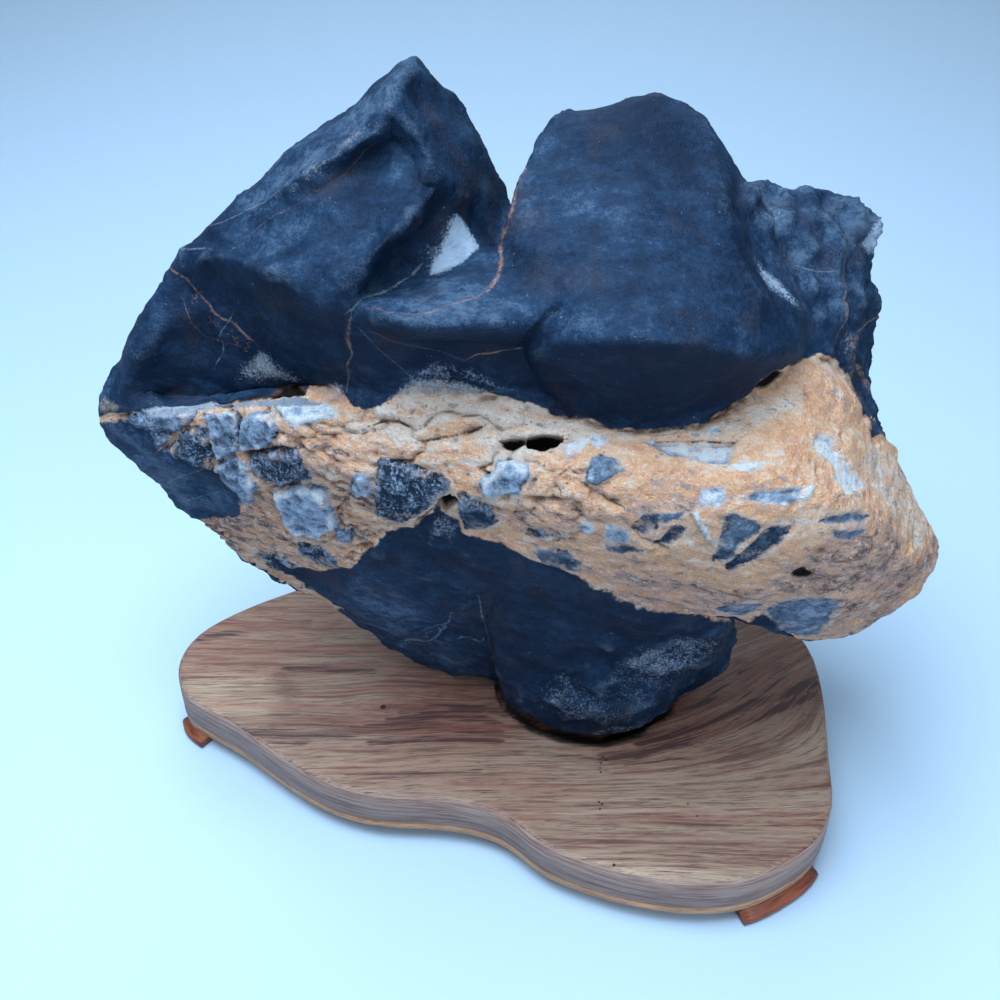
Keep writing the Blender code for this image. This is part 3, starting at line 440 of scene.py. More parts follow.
# Where the limestone is chipped and knobbly: how strongly, how far the edge fades, outline.
RUGGED = (
    (1.9, 3.0, ((740, 185), (800, 180), (884, 205), (886, 440), (850, 400), (822, 345), (803, 302),
                (784, 252), (745, 210))),
    (1.7, 4.0, ((560, 662), (602, 640), (660, 622), (742, 612), (748, 650), (690, 710), (620, 750),
                (530, 730), (515, 695))),
    (0.6, 4.0, ((85, 395), (130, 405), (200, 465), (245, 510), (300, 590), (270, 600), (160, 500))),
    (0.5, 4.0, ((404, 600), (440, 520), (470, 540), (500, 690), (430, 680), (380, 640))),
)
HIDDEN_RUGGED = 0.6


def view_axes():
    """The camera's place, and the directions it looks along, right and up."""
    forward = Vector((0, math.cos(CAMERA_PITCH), -math.sin(CAMERA_PITCH)))
    up = Vector((0, math.sin(CAMERA_PITCH), math.cos(CAMERA_PITCH)))
    place = Vector(CAMERA_TARGET) - forward * CAMERA_DISTANCE
    return place, forward, Vector((1, 0, 0)), up


def view_scale():
    """How many units of the camera's frame an object as wide as its distance covers."""
    return VIEW_SIZE / 2 / math.tan(VIEW_ANGLE / 2)


def make_camera():
    """The camera that frames the rock and its stand."""
    place, _, _, _ = view_axes()
    data = bpy.data.cameras.new("camera")
    data.sensor_width = SENSOR
    data.lens = SENSOR / 2 / math.tan(VIEW_ANGLE / 2)
    camera = bpy.data.objects.new("camera", data)
    camera.location = place * MM
    camera.rotation_euler = (math.pi / 2 - CAMERA_PITCH, 0, 0)
    bpy.context.scene.collection.objects.link(camera)
    bpy.context.scene.camera = camera


class Skin:
    """The rock's vertices: their places and normals in millimetres, and where the camera sees them."""

    def __init__(self, rock):
        mesh = rock.data
        self.mesh = mesh
        self.places = np.empty(len(mesh.vertices) * 3)
        mesh.vertices.foreach_get("co", self.places)
        self.places = self.places.reshape(-1, 3) / MM
        self.normals = np.empty(len(mesh.vertices) * 3)
        mesh.vertex_normals.foreach_get("vector", self.normals)
        self.normals = self.normals.reshape(-1, 3)
        self.edges = np.empty(len(mesh.edges) * 2, int)
        mesh.edges.foreach_get("vertices", self.edges)
        self.edges = self.edges.reshape(-1, 2)
        camera, forward, right, up = (np.array(axis) for axis in view_axes())
        towards = self.places - camera
        depth = towards @ forward
        scale = view_scale() / depth
        self.view = np.column_stack((
            VIEW_SIZE / 2 + towards @ right * scale,
            VIEW_SIZE / 2 - towards @ up * scale,
        ))
        self.unit = 1 / scale
        self.seen = self.seen_from(Vector(camera))

    def seen_from(self, camera):
        """Which vertices have a clear line to the camera."""
        tree = BVHTree.FromPolygons(
            [Vector(place) for place in self.places],
            [tuple(face.vertices) for face in self.mesh.polygons],
        )
        facing = np.einsum("ij,ij->i", self.normals, np.array(camera) - self.places) > 0
        seen = np.zeros(len(self.places), bool)
        for index in np.flatnonzero(facing):
            start = Vector(self.places[index]) + Vector(self.normals[index]) * SIGHT_CLEARANCE
            way = camera - start
            seen[index] = tree.ray_cast(start, way.normalized(), way.length)[0] is None
        return seen

    def move(self, heights):
        """Push each vertex out along its normal."""
        self.places += self.normals * heights[:, None]
        self.mesh.vertices.foreach_set("co", (self.places * MM).ravel())
        self.mesh.update()

    def keep(self, name, values):
        """Keep one number for each vertex as an attribute."""
        attribute = self.mesh.attributes.new(name, "FLOAT", "POINT")
        attribute.data.foreach_set("value", values.astype(np.float32))

    def bend(self, moves, rounds):
        """Move the seen vertices, and draw the unseen ones beside them along."""
        soft = moves.copy()
        for _ in range(rounds):
            soft = self.smoothed(soft, 1)
            soft[self.seen] = moves[self.seen]
        self.places += soft
        self.mesh.vertices.foreach_set("co", (self.places * MM).ravel())
        self.mesh.update()

    def noise(self, size, octaves=3, stretch=(1, 1, 1), shift=0.0):
        """Soft noise between about -1 and 1."""
        spots = self.places / (size * np.array(stretch)) + shift
        return np.array([noise.fractal(spot, 1.0, 2.0, octaves) for spot in spots])

    def scoops(self, size, stretch=(1, 1, 1), shift=0.0):
        """Shallow scoops that meet in sharp ridges, as broken stone has: 0 deep, about 1 on a ridge."""
        spots = self.places / (size * np.array(stretch)) + shift
        return np.array([noise.voronoi(spot)[0][0] for spot in spots])

    def smoothed(self, values, rounds):
        """The values averaged with their neighbours, a few rounds."""
        first, second = self.edges.T
        count = np.bincount(self.edges.ravel(), minlength=len(values))[:, None]
        for _ in range(rounds):
            total = np.zeros_like(values)
            np.add.at(total, first, values[second])
            np.add.at(total, second, values[first])
            values = (values + total / count) / 2
        return values


def rise(values, low, high):
    """0 below low, 1 above high, and a smooth step between."""
    share = np.clip((values - low) / (high - low), 0, 1)
    return share * share * (3 - 2 * share)


def side_distances(points, start, end):
    """Each point's distance from a segment, and the side of it that the point is on."""
    start, end = np.array(start, float), np.array(end, float)
    along = end - start
    share = np.clip((points - start) @ along / (along @ along), 0, 1)
    gap = points - start - share[:, None] * along
    side = np.sign(along[0] * gap[:, 1] - along[1] * gap[:, 0])
    return np.hypot(gap[:, 0], gap[:, 1]), side


def line_distances(points, line):
    """Signed distance from a broken line: its size is the true distance, its sign the side."""
    best = np.full(len(points), np.inf)
    side = np.ones(len(points))
    for start, end in zip(line, line[1:]):
        distance, which = side_distances(points, start, end)
        nearer = distance < best
        best[nearer] = distance[nearer]
        side[nearer] = which[nearer]
    return best * side


def inside_distances(points, outline):
    """Signed distance from a closed outline, positive inside."""
    closed = [*outline, outline[0]]
    inside = np.zeros(len(points), bool)
    for (x0, y0), (x1, y1) in zip(closed, closed[1:]):
        if y0 != y1:
            crossing = x0 + (points[:, 1] - y0) * (x1 - x0) / (y1 - y0)
            inside ^= ((points[:, 1] < y0) != (points[:, 1] < y1)) & (points[:, 0] < crossing)
    return np.abs(line_distances(points, closed)) * np.where(inside, 1, -1)


class Facets:
    """The four-cornered faces of a remeshed form, flattened between their sharpest folds."""

    def __init__(self, piece):
        self.mesh = piece.data
        self.places = np.empty(len(self.mesh.vertices) * 3)
        self.mesh.vertices.foreach_get("co", self.places)
        self.places = self.places.reshape(-1, 3) / MM
        self.corners = np.empty(len(self.mesh.loops), int)
        self.mesh.loops.foreach_get("vertex_index", self.corners)
        self.corners = self.corners.reshape(-1, 4)
        edges = np.empty(len(self.mesh.loops), int)
        self.mesh.loops.foreach_get("edge_index", edges)
        self.pairs = (np.argsort(edges, kind="stable") // 4).reshape(-1, 2)

    def normals(self):
        """Each face's direction."""
        spots = self.places[self.corners]
        across = np.cross(spots[:, 2] - spots[:, 0], spots[:, 3] - spots[:, 1])
        return across / np.linalg.norm(across, axis=1)[:, None]

    def flattened(self, rounds, fold):
        """The directions, each averaged with its neighbours' except across a sharp fold."""
        normals = self.normals()
        first, second = self.pairs.T
        for _ in range(rounds):
            gap = np.linalg.norm(normals[first] - normals[second], axis=1)
            weight = np.exp(-((gap / fold) ** 2))[:, None]
            total = normals.copy()
            np.add.at(total, first, normals[second] * weight)
            np.add.at(total, second, normals[first] * weight)
            normals = total / np.linalg.norm(total, axis=1)[:, None]
        return normals

    def settle(self, normals, rounds):
        """Move the vertices until the faces point along the given directions."""
        count = np.bincount(self.corners.ravel(), minlength=len(self.places))[:, None]
        for _ in range(rounds):
            middle = self.places[self.corners].mean(axis=1)
            total = np.zeros_like(self.places)
            for corner in self.corners.T:
                reach = np.einsum("ij,ij->i", middle - self.places[corner], normals)
                np.add.at(total, corner, normals * reach[:, None])
            self.places += total / count
        self.mesh.vertices.foreach_set("co", (self.places * MM).ravel())
        self.mesh.update()

    def creased(self):
        """The faces beside a clear crease."""
        normals = self.normals()
        first, second = self.pairs.T
        sharp = np.einsum("ij,ij->i", normals[first], normals[second]) < CREASE
        creased = np.zeros(len(self.corners), bool)
        creased[self.pairs[sharp].ravel()] = True
        return creased


class Marks:
    """Finds how far the rock's vertices are from outlines and lines drawn in the camera's frame."""

    REACH = 40.0
    FAR = 99.0

    def __init__(self, skin):
        self.skin = skin

    def near(self, drawn):
        """The seen vertices close to a drawn line or outline."""
        low = np.min(drawn, axis=0) - self.REACH
        high = np.max(drawn, axis=0) + self.REACH
        view = self.skin.view
        within = ((view > low) & (view < high)).all(axis=1)
        return np.flatnonzero(within & self.skin.seen)

    def area(self, outline):
        """Signed distance in millimetres from an outline, positive inside, for every vertex."""
        depth = np.full(len(self.skin.places), -self.FAR)
        near = self.near(outline)
        depth[near] = inside_distances(self.skin.view[near], outline) * self.skin.unit[near]
        return depth

    def line(self, line):
        """Signed distance in millimetres from a line, for every vertex."""
        gap = np.full(len(self.skin.places), self.FAR)
        near = self.near(line)
        gap[near] = line_distances(self.skin.view[near], line) * self.skin.unit[near]
        return gap


def faceted_depths(points, corner_lines):
    """The depth at each point of the flat facets that join the corners."""
    corners = [corner for line in corner_lines for corner in line]
    folds = []
    for line in corner_lines:
        first = sum(len(other) for other in corner_lines[:corner_lines.index(line)])
        folds += [(first + step, first + step + 1) for step in range(len(line) - 1)]
    spots = [Vector(corner[:2]) for corner in corners]
    _, _, facets, _, _, _ = geometry.delaunay_2d_cdt(spots, folds, [], 0, 0.001)
    depths = np.full(len(points), np.nan)
    for facet in facets:
        a, b, c = (np.array(corners[index], float) for index in facet)
        across = np.column_stack((b[:2] - a[:2], c[:2] - a[:2]))
        share = np.linalg.solve(across, (points - a[:2]).T).T
        inside = (share > -0.001).all(axis=1) & (share.sum(axis=1) < 1.001)
        depths[inside] = a[2] + share[inside] @ (b[2] - a[2], c[2] - a[2])
    return depths


def carve_facets(piece, outline, corner_lines):
    """Bring the seen surface within an outline to flat facets, along the camera's rays."""
    skin = Skin(piece)
    camera, forward, _, _ = (np.array(axis) for axis in view_axes())
    rays = skin.places - camera
    depths = rays @ forward
    seen = np.flatnonzero(skin.seen)
    edge = []
    for point in outline:
        gaps = np.linalg.norm(skin.view[seen] - point, axis=1)
        edge.append((*point, depths[seen[gaps.argmin()]]))
    wanted = faceted_depths(skin.view, [edge, *corner_lines])
    share = rise(Marks(skin).area(outline), 0.0, FACET_FADE)
    change = np.where(np.isnan(wanted), 0.0, (wanted - depths) / depths * share)
    change[~skin.seen] = 0.0
    skin.bend(rays * change[:, None], EDGE_DRAG)


# How far from a line its colour may show, so that it stays whole between vertices.
LINE_NEAR = 1.3
LINE_FAR = 2.4


def keep_lines(skin, marks, name, lines):
    """Keep a family of lines: distance in half widths, and how strongly they may show."""
    nearest = np.full(len(skin.places), Marks.FAR)
    widths = np.ones(len(skin.places))
    strengths = np.zeros(len(skin.places))
    for half_width, strength, line in lines:
        gap = marks.line(line)
        nearer = np.abs(gap) < np.abs(nearest)
        nearest[nearer] = gap[nearer]
        widths[nearer] = half_width
        strengths[nearer] = strength
    skin.keep(name, nearest / widths)
    skin.keep(name + "_near", strengths * (1 - rise(np.abs(nearest), LINE_NEAR, LINE_FAR)))


def belt_depths(skin, marks):
    """How deep inside the belt of breccia each vertex is."""
    along, height = skin.places[:, 0], skin.places[:, 2]
    top = np.interp(along, *zip(*BELT_TOP))
    bottom = np.interp(along, *zip(*BELT_BOTTOM))
    behind = np.minimum(top - height, height - bottom)
    in_front = marks.area(BELT)
    return np.where(skin.seen, in_front, behind)


# Pebbles on the sides that the camera doesn't see: how many, the least and most cement round
# each, how strongly the dark ones outnumber the pale, and how long they are along each axis.
HIDDEN_PEBBLES = 420
PEBBLE_SEED = 7
PEBBLE_ROOM = (0.6, 4.0)
PEBBLE_DARKNESS = 1.6
PEBBLE_STRETCH = (1.3, 1.3, 0.8)
VERTICES_AT_ONCE = 4096


def hidden_pebbles(skin):
    """Angular pebbles on a scatter of seeds: distance inside the nearest, and its tone."""
    chance = np.random.default_rng(PEBBLE_SEED)
    seeds = skin.places[chance.choice(len(skin.places), HIDDEN_PEBBLES, replace=False)]
    room = chance.uniform(*PEBBLE_ROOM, HIDDEN_PEBBLES)
    tones = chance.uniform(0.0, 1.0, HIDDEN_PEBBLES) ** PEBBLE_DARKNESS
    depths = np.empty(len(skin.places))
    nearest = np.empty(len(skin.places), int)
    for start in range(0, len(skin.places), VERTICES_AT_ONCE):
        block = slice(start, start + VERTICES_AT_ONCE)
        gaps = np.linalg.norm((skin.places[block, None] - seeds) / PEBBLE_STRETCH, axis=2)
        nearest[block] = gaps.argmin(axis=1)
        closest = np.partition(gaps, 1, axis=1)
        depths[block] = (closest[:, 1] - closest[:, 0]) / 2
    return depths - room[nearest], tones[nearest]


def pebbles(skin, marks):
    """Distance inside the nearest pebble, its tone and how far it stands out."""
    depths = np.full(len(skin.places), -Marks.FAR)
    tones = np.zeros(len(skin.places))
    heights = np.zeros(len(skin.places))
    for tone, height, outline in PEBBLES:
        depth = marks.area(outline)
        deeper = depth > depths
        depths[deeper] = depth[deeper]
        tones[deeper] = tone
        heights[deeper] = height
    hidden_depths, hidden_tones = hidden_pebbles(skin)
    depths = np.where(skin.seen, depths, hidden_depths)
    tones = np.where(skin.seen, tones, hidden_tones)
    return depths, tones, heights


def select_for_edit(piece):
    """Make the piece the only one selected."""
    bpy.ops.object.select_all(action="DESELECT")
    piece.select_set(True)
    bpy.context.view_layer.objects.active = piece


def apply_modifier(piece, kind, **settings):
    """Give the piece a modifier and apply it."""
    select_for_edit(piece)
    modifier = piece.modifiers.new(kind.lower(), kind)
    for name, value in settings.items():
        setattr(modifier, name, value)
    bpy.ops.object.modifier_apply(modifier=modifier.name)


def copy_of_node(node, name):
    """A piece with the node's form, its loose triangles merged."""
    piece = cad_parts[node].copy()
    piece.data = piece.data.copy()
    piece.name = piece.data.name = name
    piece.parent = None
    for key in list(piece.keys()):
        del piece[key]
    bpy.context.scene.collection.objects.link(piece)
    piece.data.materials.clear()
    select_for_edit(piece)
    bpy.ops.object.mode_set(mode="EDIT")
    bpy.ops.mesh.select_all(action="SELECT")
    bpy.ops.mesh.remove_doubles(threshold=0.00001)
    bpy.ops.object.mode_set(mode="OBJECT")
    return piece


def edit_faces(piece, chosen):
    """Go into edit mode with the chosen faces selected."""
    select_for_edit(piece)
    bpy.ops.object.mode_set(mode="EDIT")
    bpy.ops.mesh.select_mode(type="FACE")
    bpy.ops.mesh.select_all(action="DESELECT")
    bpy.ops.object.mode_set(mode="OBJECT")
    piece.data.polygons.foreach_set("select", chosen)
    bpy.ops.object.mode_set(mode="EDIT")


def refine_faces(piece, chosen):
    """Cut the chosen faces in four."""
    edit_faces(piece, chosen)
    bpy.ops.mesh.subdivide(number_cuts=1, quadcorner="STRAIGHT_CUT")
    bpy.ops.object.mode_set(mode="OBJECT")


def finest_faces(rock, facets):
    """The seen faces in and around the belt, and those along the folds and clear creases."""
    skin = Skin(rock)
    marks = Marks(skin)
    in_belt = (marks.area(BELT) > -2.0)[facets.corners].all(axis=1)
    in_sight = skin.seen[facets.corners].any(axis=1)
    folds = [marks.line([corner[:2] for corner in line]) for line in PEAK_CORNERS]
    by_fold = (np.abs(folds).min(axis=0) < FOLD_REACH)[facets.corners].all(axis=1)
    return in_belt | by_fold | (facets.creased() & in_sight)


def areas(skin, marks, drawn):
    """The strongest of several soft-edged areas at each vertex."""
    strength = np.zeros(len(skin.places))
    for peak, fade, outline in drawn:
        strength = np.maximum(strength, peak * rise(marks.area(outline), -fade, fade))
    return strength


def stone_tones_and_painted_light(skin, marks):
    """How much paler or darker the limestone is painted, partly its own tone and mostly painted shade and
    light, each drawn stretch added to the last.
    """
    tone = np.zeros(len(skin.places))
    for change, fade, outline in PAINTED_LIGHT_AND_TONES:
        tone += change * rise(marks.area(outline), -fade, fade)
    return tone


def keep_dust(skin, marks):
    """Keep how thick the dust lies and how warm it is."""
    strength = np.zeros(len(skin.places))
    warmth = np.zeros(len(skin.places))
    for peak, warm, fade, outline in DUSTED:
        here = peak * rise(marks.area(outline), -fade, fade)
        warmth = np.where(here > strength, warm, warmth)
        strength = np.maximum(strength, here)
    skin.keep("dust", strength)
    skin.keep("dust_warmth", warmth)


def cement_shades(skin, marks):
    """The cement's shade: each drawn area laid over the last."""
    shade = np.full(len(skin.places), HIDDEN_CEMENT)
    for value, fade, outline in CEMENT_SHADES:
        share = rise(marks.area(outline), -fade, fade)
        shade += (value - shade) * share
    return shade


# The weathered relief: the scoops' sizes, from the widest to the chips on pebbles, their middle
# height, and how far other forms stand out or go in.
WIDE_SCOOPS = 20
SMALL_SCOOPS = 8.5
CHIPS = 5.5
SCOOP_MIDDLE = 0.4
BOULDER_SMOOTHING = 0.6
HIDDEN_CREVICED = 0.5
PIT_DEPTH = 1.2
PEBBLE_RELIEF = 1.6
CRACK_SLOPE = 1.2


def stone_waves(skin, marks):
    """The limestone's relief: long waves, scoops wide and small, and grain where it is chipped."""
    rugged = np.where(skin.seen, areas(skin, marks, RUGGED), HIDDEN_RUGGED)
    smooth = 1 - BOULDER_SMOOTHING * rise(marks.area(BOULDER), -4.0, 4.0)
    waves = 0.8 * skin.noise(26, 2) + 0.5 * skin.noise(9, 3, (1.4, 1, 0.8), 5.0)
    waves += (3.0 + 1.6 * rugged) * (skin.scoops(WIDE_SCOOPS, (1.3, 1, 0.8)) - SCOOP_MIDDLE)
    waves += (0.9 + 1.5 * rugged) * (skin.scoops(SMALL_SCOOPS, (1, 1, 1.3), 4.0) - SCOOP_MIDDLE)
    return waves * smooth + (0.15 + 0.5 * rugged) * skin.noise(3.0, 3, (1, 1, 1), 3.0)


def belt_relief(skin, marks, pebble_depths, pebble_heights):
    """The belt's relief: lumpy cement with pits and crevices, and chipped pebbles, proud or flush."""
    creviced = np.where(skin.seen, rise(marks.area(CREVICED), -4.0, 4.0), HIDDEN_CREVICED)
    crevice = rise(1 - np.abs(skin.noise(14, 3, (1.8, 1, 0.7), 21.0)), 0.90, 1.0)
    lumps = 1.1 * skin.noise(11, 3, (1.5, 1, 0.7), 9.0) + 0.9 * skin.noise(4.2, 3, (1.3, 1, 0.8), 2.0)
    lumps -= PIT_DEPTH * rise(skin.noise(2.4, 1, (1, 1, 1), 33.0), 0.30, 0.60)
    cement = lumps * (0.6 + 0.4 * creviced) - (0.2 + 1.3 * creviced) * crevice
    chips = 2.6 * creviced * (skin.scoops(CHIPS, (1, 1, 1), 8.0) - SCOOP_MIDDLE)
    on_pebble = rise(pebble_depths, -0.3, 0.5)
    return cement * (1 - 0.7 * on_pebble) + (pebble_heights * PEBBLE_RELIEF + chips) * on_pebble


def drawn_relief(skin, marks):
    """The ridges, grooves, cracks and holes that are drawn one by one."""
    heights = np.zeros(len(skin.places))
    for height, reach, line in RIDGES:
        heights += height * np.exp(-np.abs(marks.line(line)) / reach)
    for half_width, strength, line in CRACKS_AND_SHADOW_LINES:
        beside = rise(np.abs(marks.line(line)), half_width, half_width + CRACK_SLOPE)
        heights -= CRACK_DEPTH * strength * (1 - beside)
    for depth, outline in HOLES:
        heights -= depth * rise(marks.area(outline), -0.5, 0.9)
    return heights


def weathering(skin, marks, belt, pebble_depths, pebble_heights):
    """How far each vertex moves out or in, down to nothing where the rock sits in its socket."""
    in_belt = rise(belt, -0.8, 1.0)
    relief = belt_relief(skin, marks, pebble_depths, pebble_heights)
    heights = stone_waves(skin, marks) * (1 - in_belt) + relief * in_belt + drawn_relief(skin, marks)
    return heights * rise(skin.places[:, 2], SEAT_TOP, SEAT_TOP + SEAT_FADE)


def ridge_heights(skin, rounds):
    """How far each vertex stands above its smoothed surroundings: ridges +, hollows -."""
    far = np.einsum("ij,ij->i", skin.places - skin.smoothed(skin.places, rounds), skin.normals)
    return skin.smoothed(far[:, None], 1)[:, 0]


# How many rounds of smoothing a ridge, and the edge of a ridge (painted paler, partly as wear and partly
# as highlight), is measured against.
RIDGE_ROUNDS = 14
EDGE_ROUNDS = 4


def refined_rock():
    """A copy of the rock's solid with even faces, flat facets and fine faces where detail needs them."""
    rock = copy_of_node("stone", "rock")
    apply_modifier(rock, "REMESH", mode="VOXEL", voxel_size=VOXEL * MM)
    carve_facets(rock, PEAK, PEAK_CORNERS)
    apply_modifier(rock, "REMESH", mode="VOXEL", voxel_size=VOXEL * MM)
    apply_modifier(rock, "SMOOTH", factor=0.5, iterations=SOFTENING)
    facets = Facets(rock)
    facets.settle(facets.flattened(FLATTENING, FOLD), SETTLING)
    refine_faces(rock, finest_faces(rock, facets))
    carve_facets(rock, PEAK, PEAK_CORNERS)
    return rock


def mark_rock(rock):
    """Keep on the rock's vertices what the materials follow, and weather its surface."""
    skin = Skin(rock)
    marks = Marks(skin)
    belt = belt_depths(skin, marks)
    pebble_depths, pebble_tones, pebble_heights = pebbles(skin, marks)
    heights = weathering(skin, marks, belt, pebble_depths, pebble_heights)
    skin.keep("belt", belt)
    skin.keep("pebble", pebble_depths)
    skin.keep("pebble_tone", pebble_tones)
    keep_lines(skin, marks, "orange_vein", ORANGE_VEINS)
    keep_lines(skin, marks, "pale_vein", PALE_VEINS)
    keep_lines(skin, marks, "crack", CRACKS_AND_SHADOW_LINES)
    # The kept tone is mostly painted shade and painted light, with some of the stone's own tone.
    skin.keep("tone", stone_tones_and_painted_light(skin, marks))
    skin.keep("network", rise(marks.area(NETWORK), -1.0, 4.0))
    skin.keep("speckled", rise(marks.area(CREVICED), -2.0, 4.0))
    skin.keep("cement", cement_shades(skin, marks))
    keep_dust(skin, marks)
    skin.keep("hole", areas(skin, marks, [(1.0, 0.5, outline) for _, outline in HOLES]))
    skin.move(heights)
    skin = Skin(rock)
    skin.keep("ridge", ridge_heights(skin, RIDGE_ROUNDS))
    skin.keep("edge", ridge_heights(skin, EDGE_ROUNDS))
    # How far each face looks up, which the colours paint paler as painted light.
    skin.keep("skyward", skin.normals[:, 2])


class Socket:
    """A shader output that takes part in sums: an expression on it adds its Math nodes."""

    def __init__(self, finish, link):
        self.finish = finish
        self.link = link

    def maths(self, operation, *values, clamp=False):
        settings = {"operation": operation, "use_clamp": clamp}
        return self.finish.node("ShaderNodeMath", settings, dict(enumerate(values)))

    def __add__(self, other):
        return self.maths("ADD", self, other)

    def __radd__(self, other):
        return self.maths("ADD", other, self)

    def __sub__(self, other):
        return self.maths("SUBTRACT", self, other)

    def __rsub__(self, other):
        return self.maths("SUBTRACT", other, self)

    def __mul__(self, other):
        return self.maths("MULTIPLY", self, other)

    def __rmul__(self, other):
        return self.maths("MULTIPLY", other, self)

    def __truediv__(self, other):
        return self.maths("DIVIDE", self, other)

    def __rtruediv__(self, other):
        return self.maths("DIVIDE", other, self)

    def __pow__(self, other):
        return self.maths("POWER", self, other)

    def __abs__(self):
        return self.maths("ABSOLUTE", self)

    def most(self, other):
        return self.maths("MAXIMUM", self, other)

    def clamped(self):
        return self.maths("ADD", self, 0.0, clamp=True)

    def rise(self, low, high):
        """0 below low, 1 above high, with a smooth step between; the other way round if low > high."""
        inputs = {"Value": self, "From Min": low, "From Max": high}
        return self.finish.node("ShaderNodeMapRange", {"interpolation_type": "SMOOTHSTEP"}, inputs)


class Finish:
    """A material under construction."""

    def __init__(self, name):
        self.material = bpy.data.materials.new(name)
        self.material.use_nodes = True
        self.tree = self.material.node_tree
        self.shader = self.tree.nodes["Principled BSDF"]

    def node(self, kind, settings=None, inputs=None, output=0):
        """Add a node: its settings first, then its inputs as values or sockets."""
        node = self.tree.nodes.new(kind)
        for name, value in (settings or {}).items():
            if name == "stops":
                self.set_stops(node.color_ramp.elements, value)
            else:
                setattr(node, name, value)
        for name, value in (inputs or {}).items():
            self.connect(node.inputs[name], value)
        return Socket(self, node.outputs[output])

    @staticmethod
    def set_stops(elements, stops):
        """Give a ramp its stops, each a place from 0 to 1 and a colour."""
        for _ in stops[2:]:
            elements.new(0.5)
        for element, (place, shade) in zip(elements, stops):
            element.position = place
            element.color = shade

    def connect(self, slot, value):
        """Set an input to a value, or link a socket to it."""
        if isinstance(value, Socket):
            self.tree.links.new(value.link, slot)
        else:
            slot.default_value = value

    def set(self, name, value):
        """Set one of the shader's inputs."""
        self.connect(self.shader.inputs[name], value)

    def place(self):
        """The place on the piece, in millimetres."""
        spot = self.node("ShaderNodeTexCoord", output="Object")
        return self.node("ShaderNodeVectorMath", {"operation": "SCALE"}, {0: spot, "Scale": 1 / MM})

    def along(self, axis):
        """One coordinate of the place, in millimetres."""
        return self.node("ShaderNodeSeparateXYZ", inputs={0: self.place()}, output=axis)

    def stretched(self, stretch, turn=(0, 0, 0), shift=(0, 0, 0)):
        """The place turned and stretched, for a pattern that runs along the piece."""
        inputs = {"Vector": self.place(), "Location": shift, "Rotation": turn, "Scale": stretch}
        return self.node("ShaderNodeMapping", {"vector_type": "TEXTURE"}, inputs)

    def noise(self, size, detail=3, roughness=0.55, stretch=(1, 1, 1), turn=(0, 0, 0), shift=0.0,
              distortion=0.0):
        """Soft noise from 0 to 1 with grains of the given size."""
        spot = self.stretched(stretch, turn, (shift, shift, shift))
        inputs = {"Vector": spot, "Scale": 1 / size, "Detail": detail, "Roughness": roughness,
                  "Distortion": distortion}
        return self.node("ShaderNodeTexNoise", inputs=inputs)

    def kept(self, name):
        """A number kept on the piece's vertices."""
        return self.node("ShaderNodeAttribute", {"attribute_name": name}, output="Fac")

    def mix(self, share, first, second):
        """Blend two colours."""
        inputs = {0: share, 6: first, 7: second}
        return self.node("ShaderNodeMix", {"data_type": "RGBA"}, inputs, output=2)

    def ramp(self, share, *stops):
        """A colour for each share, from stops of share and colour."""
        return self.node("ShaderNodeValToRGB", {"stops": stops}, {"Fac": share}, output="Color")

    def bump(self, height, depth, strength=1.0):
        """Tilt the surface by a height from 0 to 1 that is worth depth millimetres."""
        inputs = {"Strength": strength, "Distance": depth * MM, "Height": height}
        self.set("Normal", self.node("ShaderNodeBump", inputs=inputs))


def colour(red, green, blue):
    """A colour with full alpha."""
    return (red, green, blue, 1.0)


# Limestone, from the deepest shade to dust.
DEEP_SLATE = colour(0.0027, 0.0095, 0.025)
SLATE = colour(0.0170, 0.042, 0.088)
# A pale bloom, also used as the painted highlight on edges and ridges.
BLOOM_AND_HIGHLIGHT = colour(0.088, 0.118, 0.158)
UMBER = colour(0.045, 0.030, 0.028)
DUST = colour(0.27, 0.32, 0.40)
DUST_SHADE = colour(0.10, 0.13, 0.17)
TAN_DUST = colour(0.34, 0.25, 0.18)
RUST = colour(0.21, 0.085, 0.052)
SAND = colour(0.27, 0.18, 0.14)
CALCITE = colour(0.20, 0.24, 0.29)
# The near black painted into holes, cracks, shadow lines and the socket's gap as painted shadow, and into
# worm holes.
PIT_DARK = colour(0.010, 0.006, 0.004)


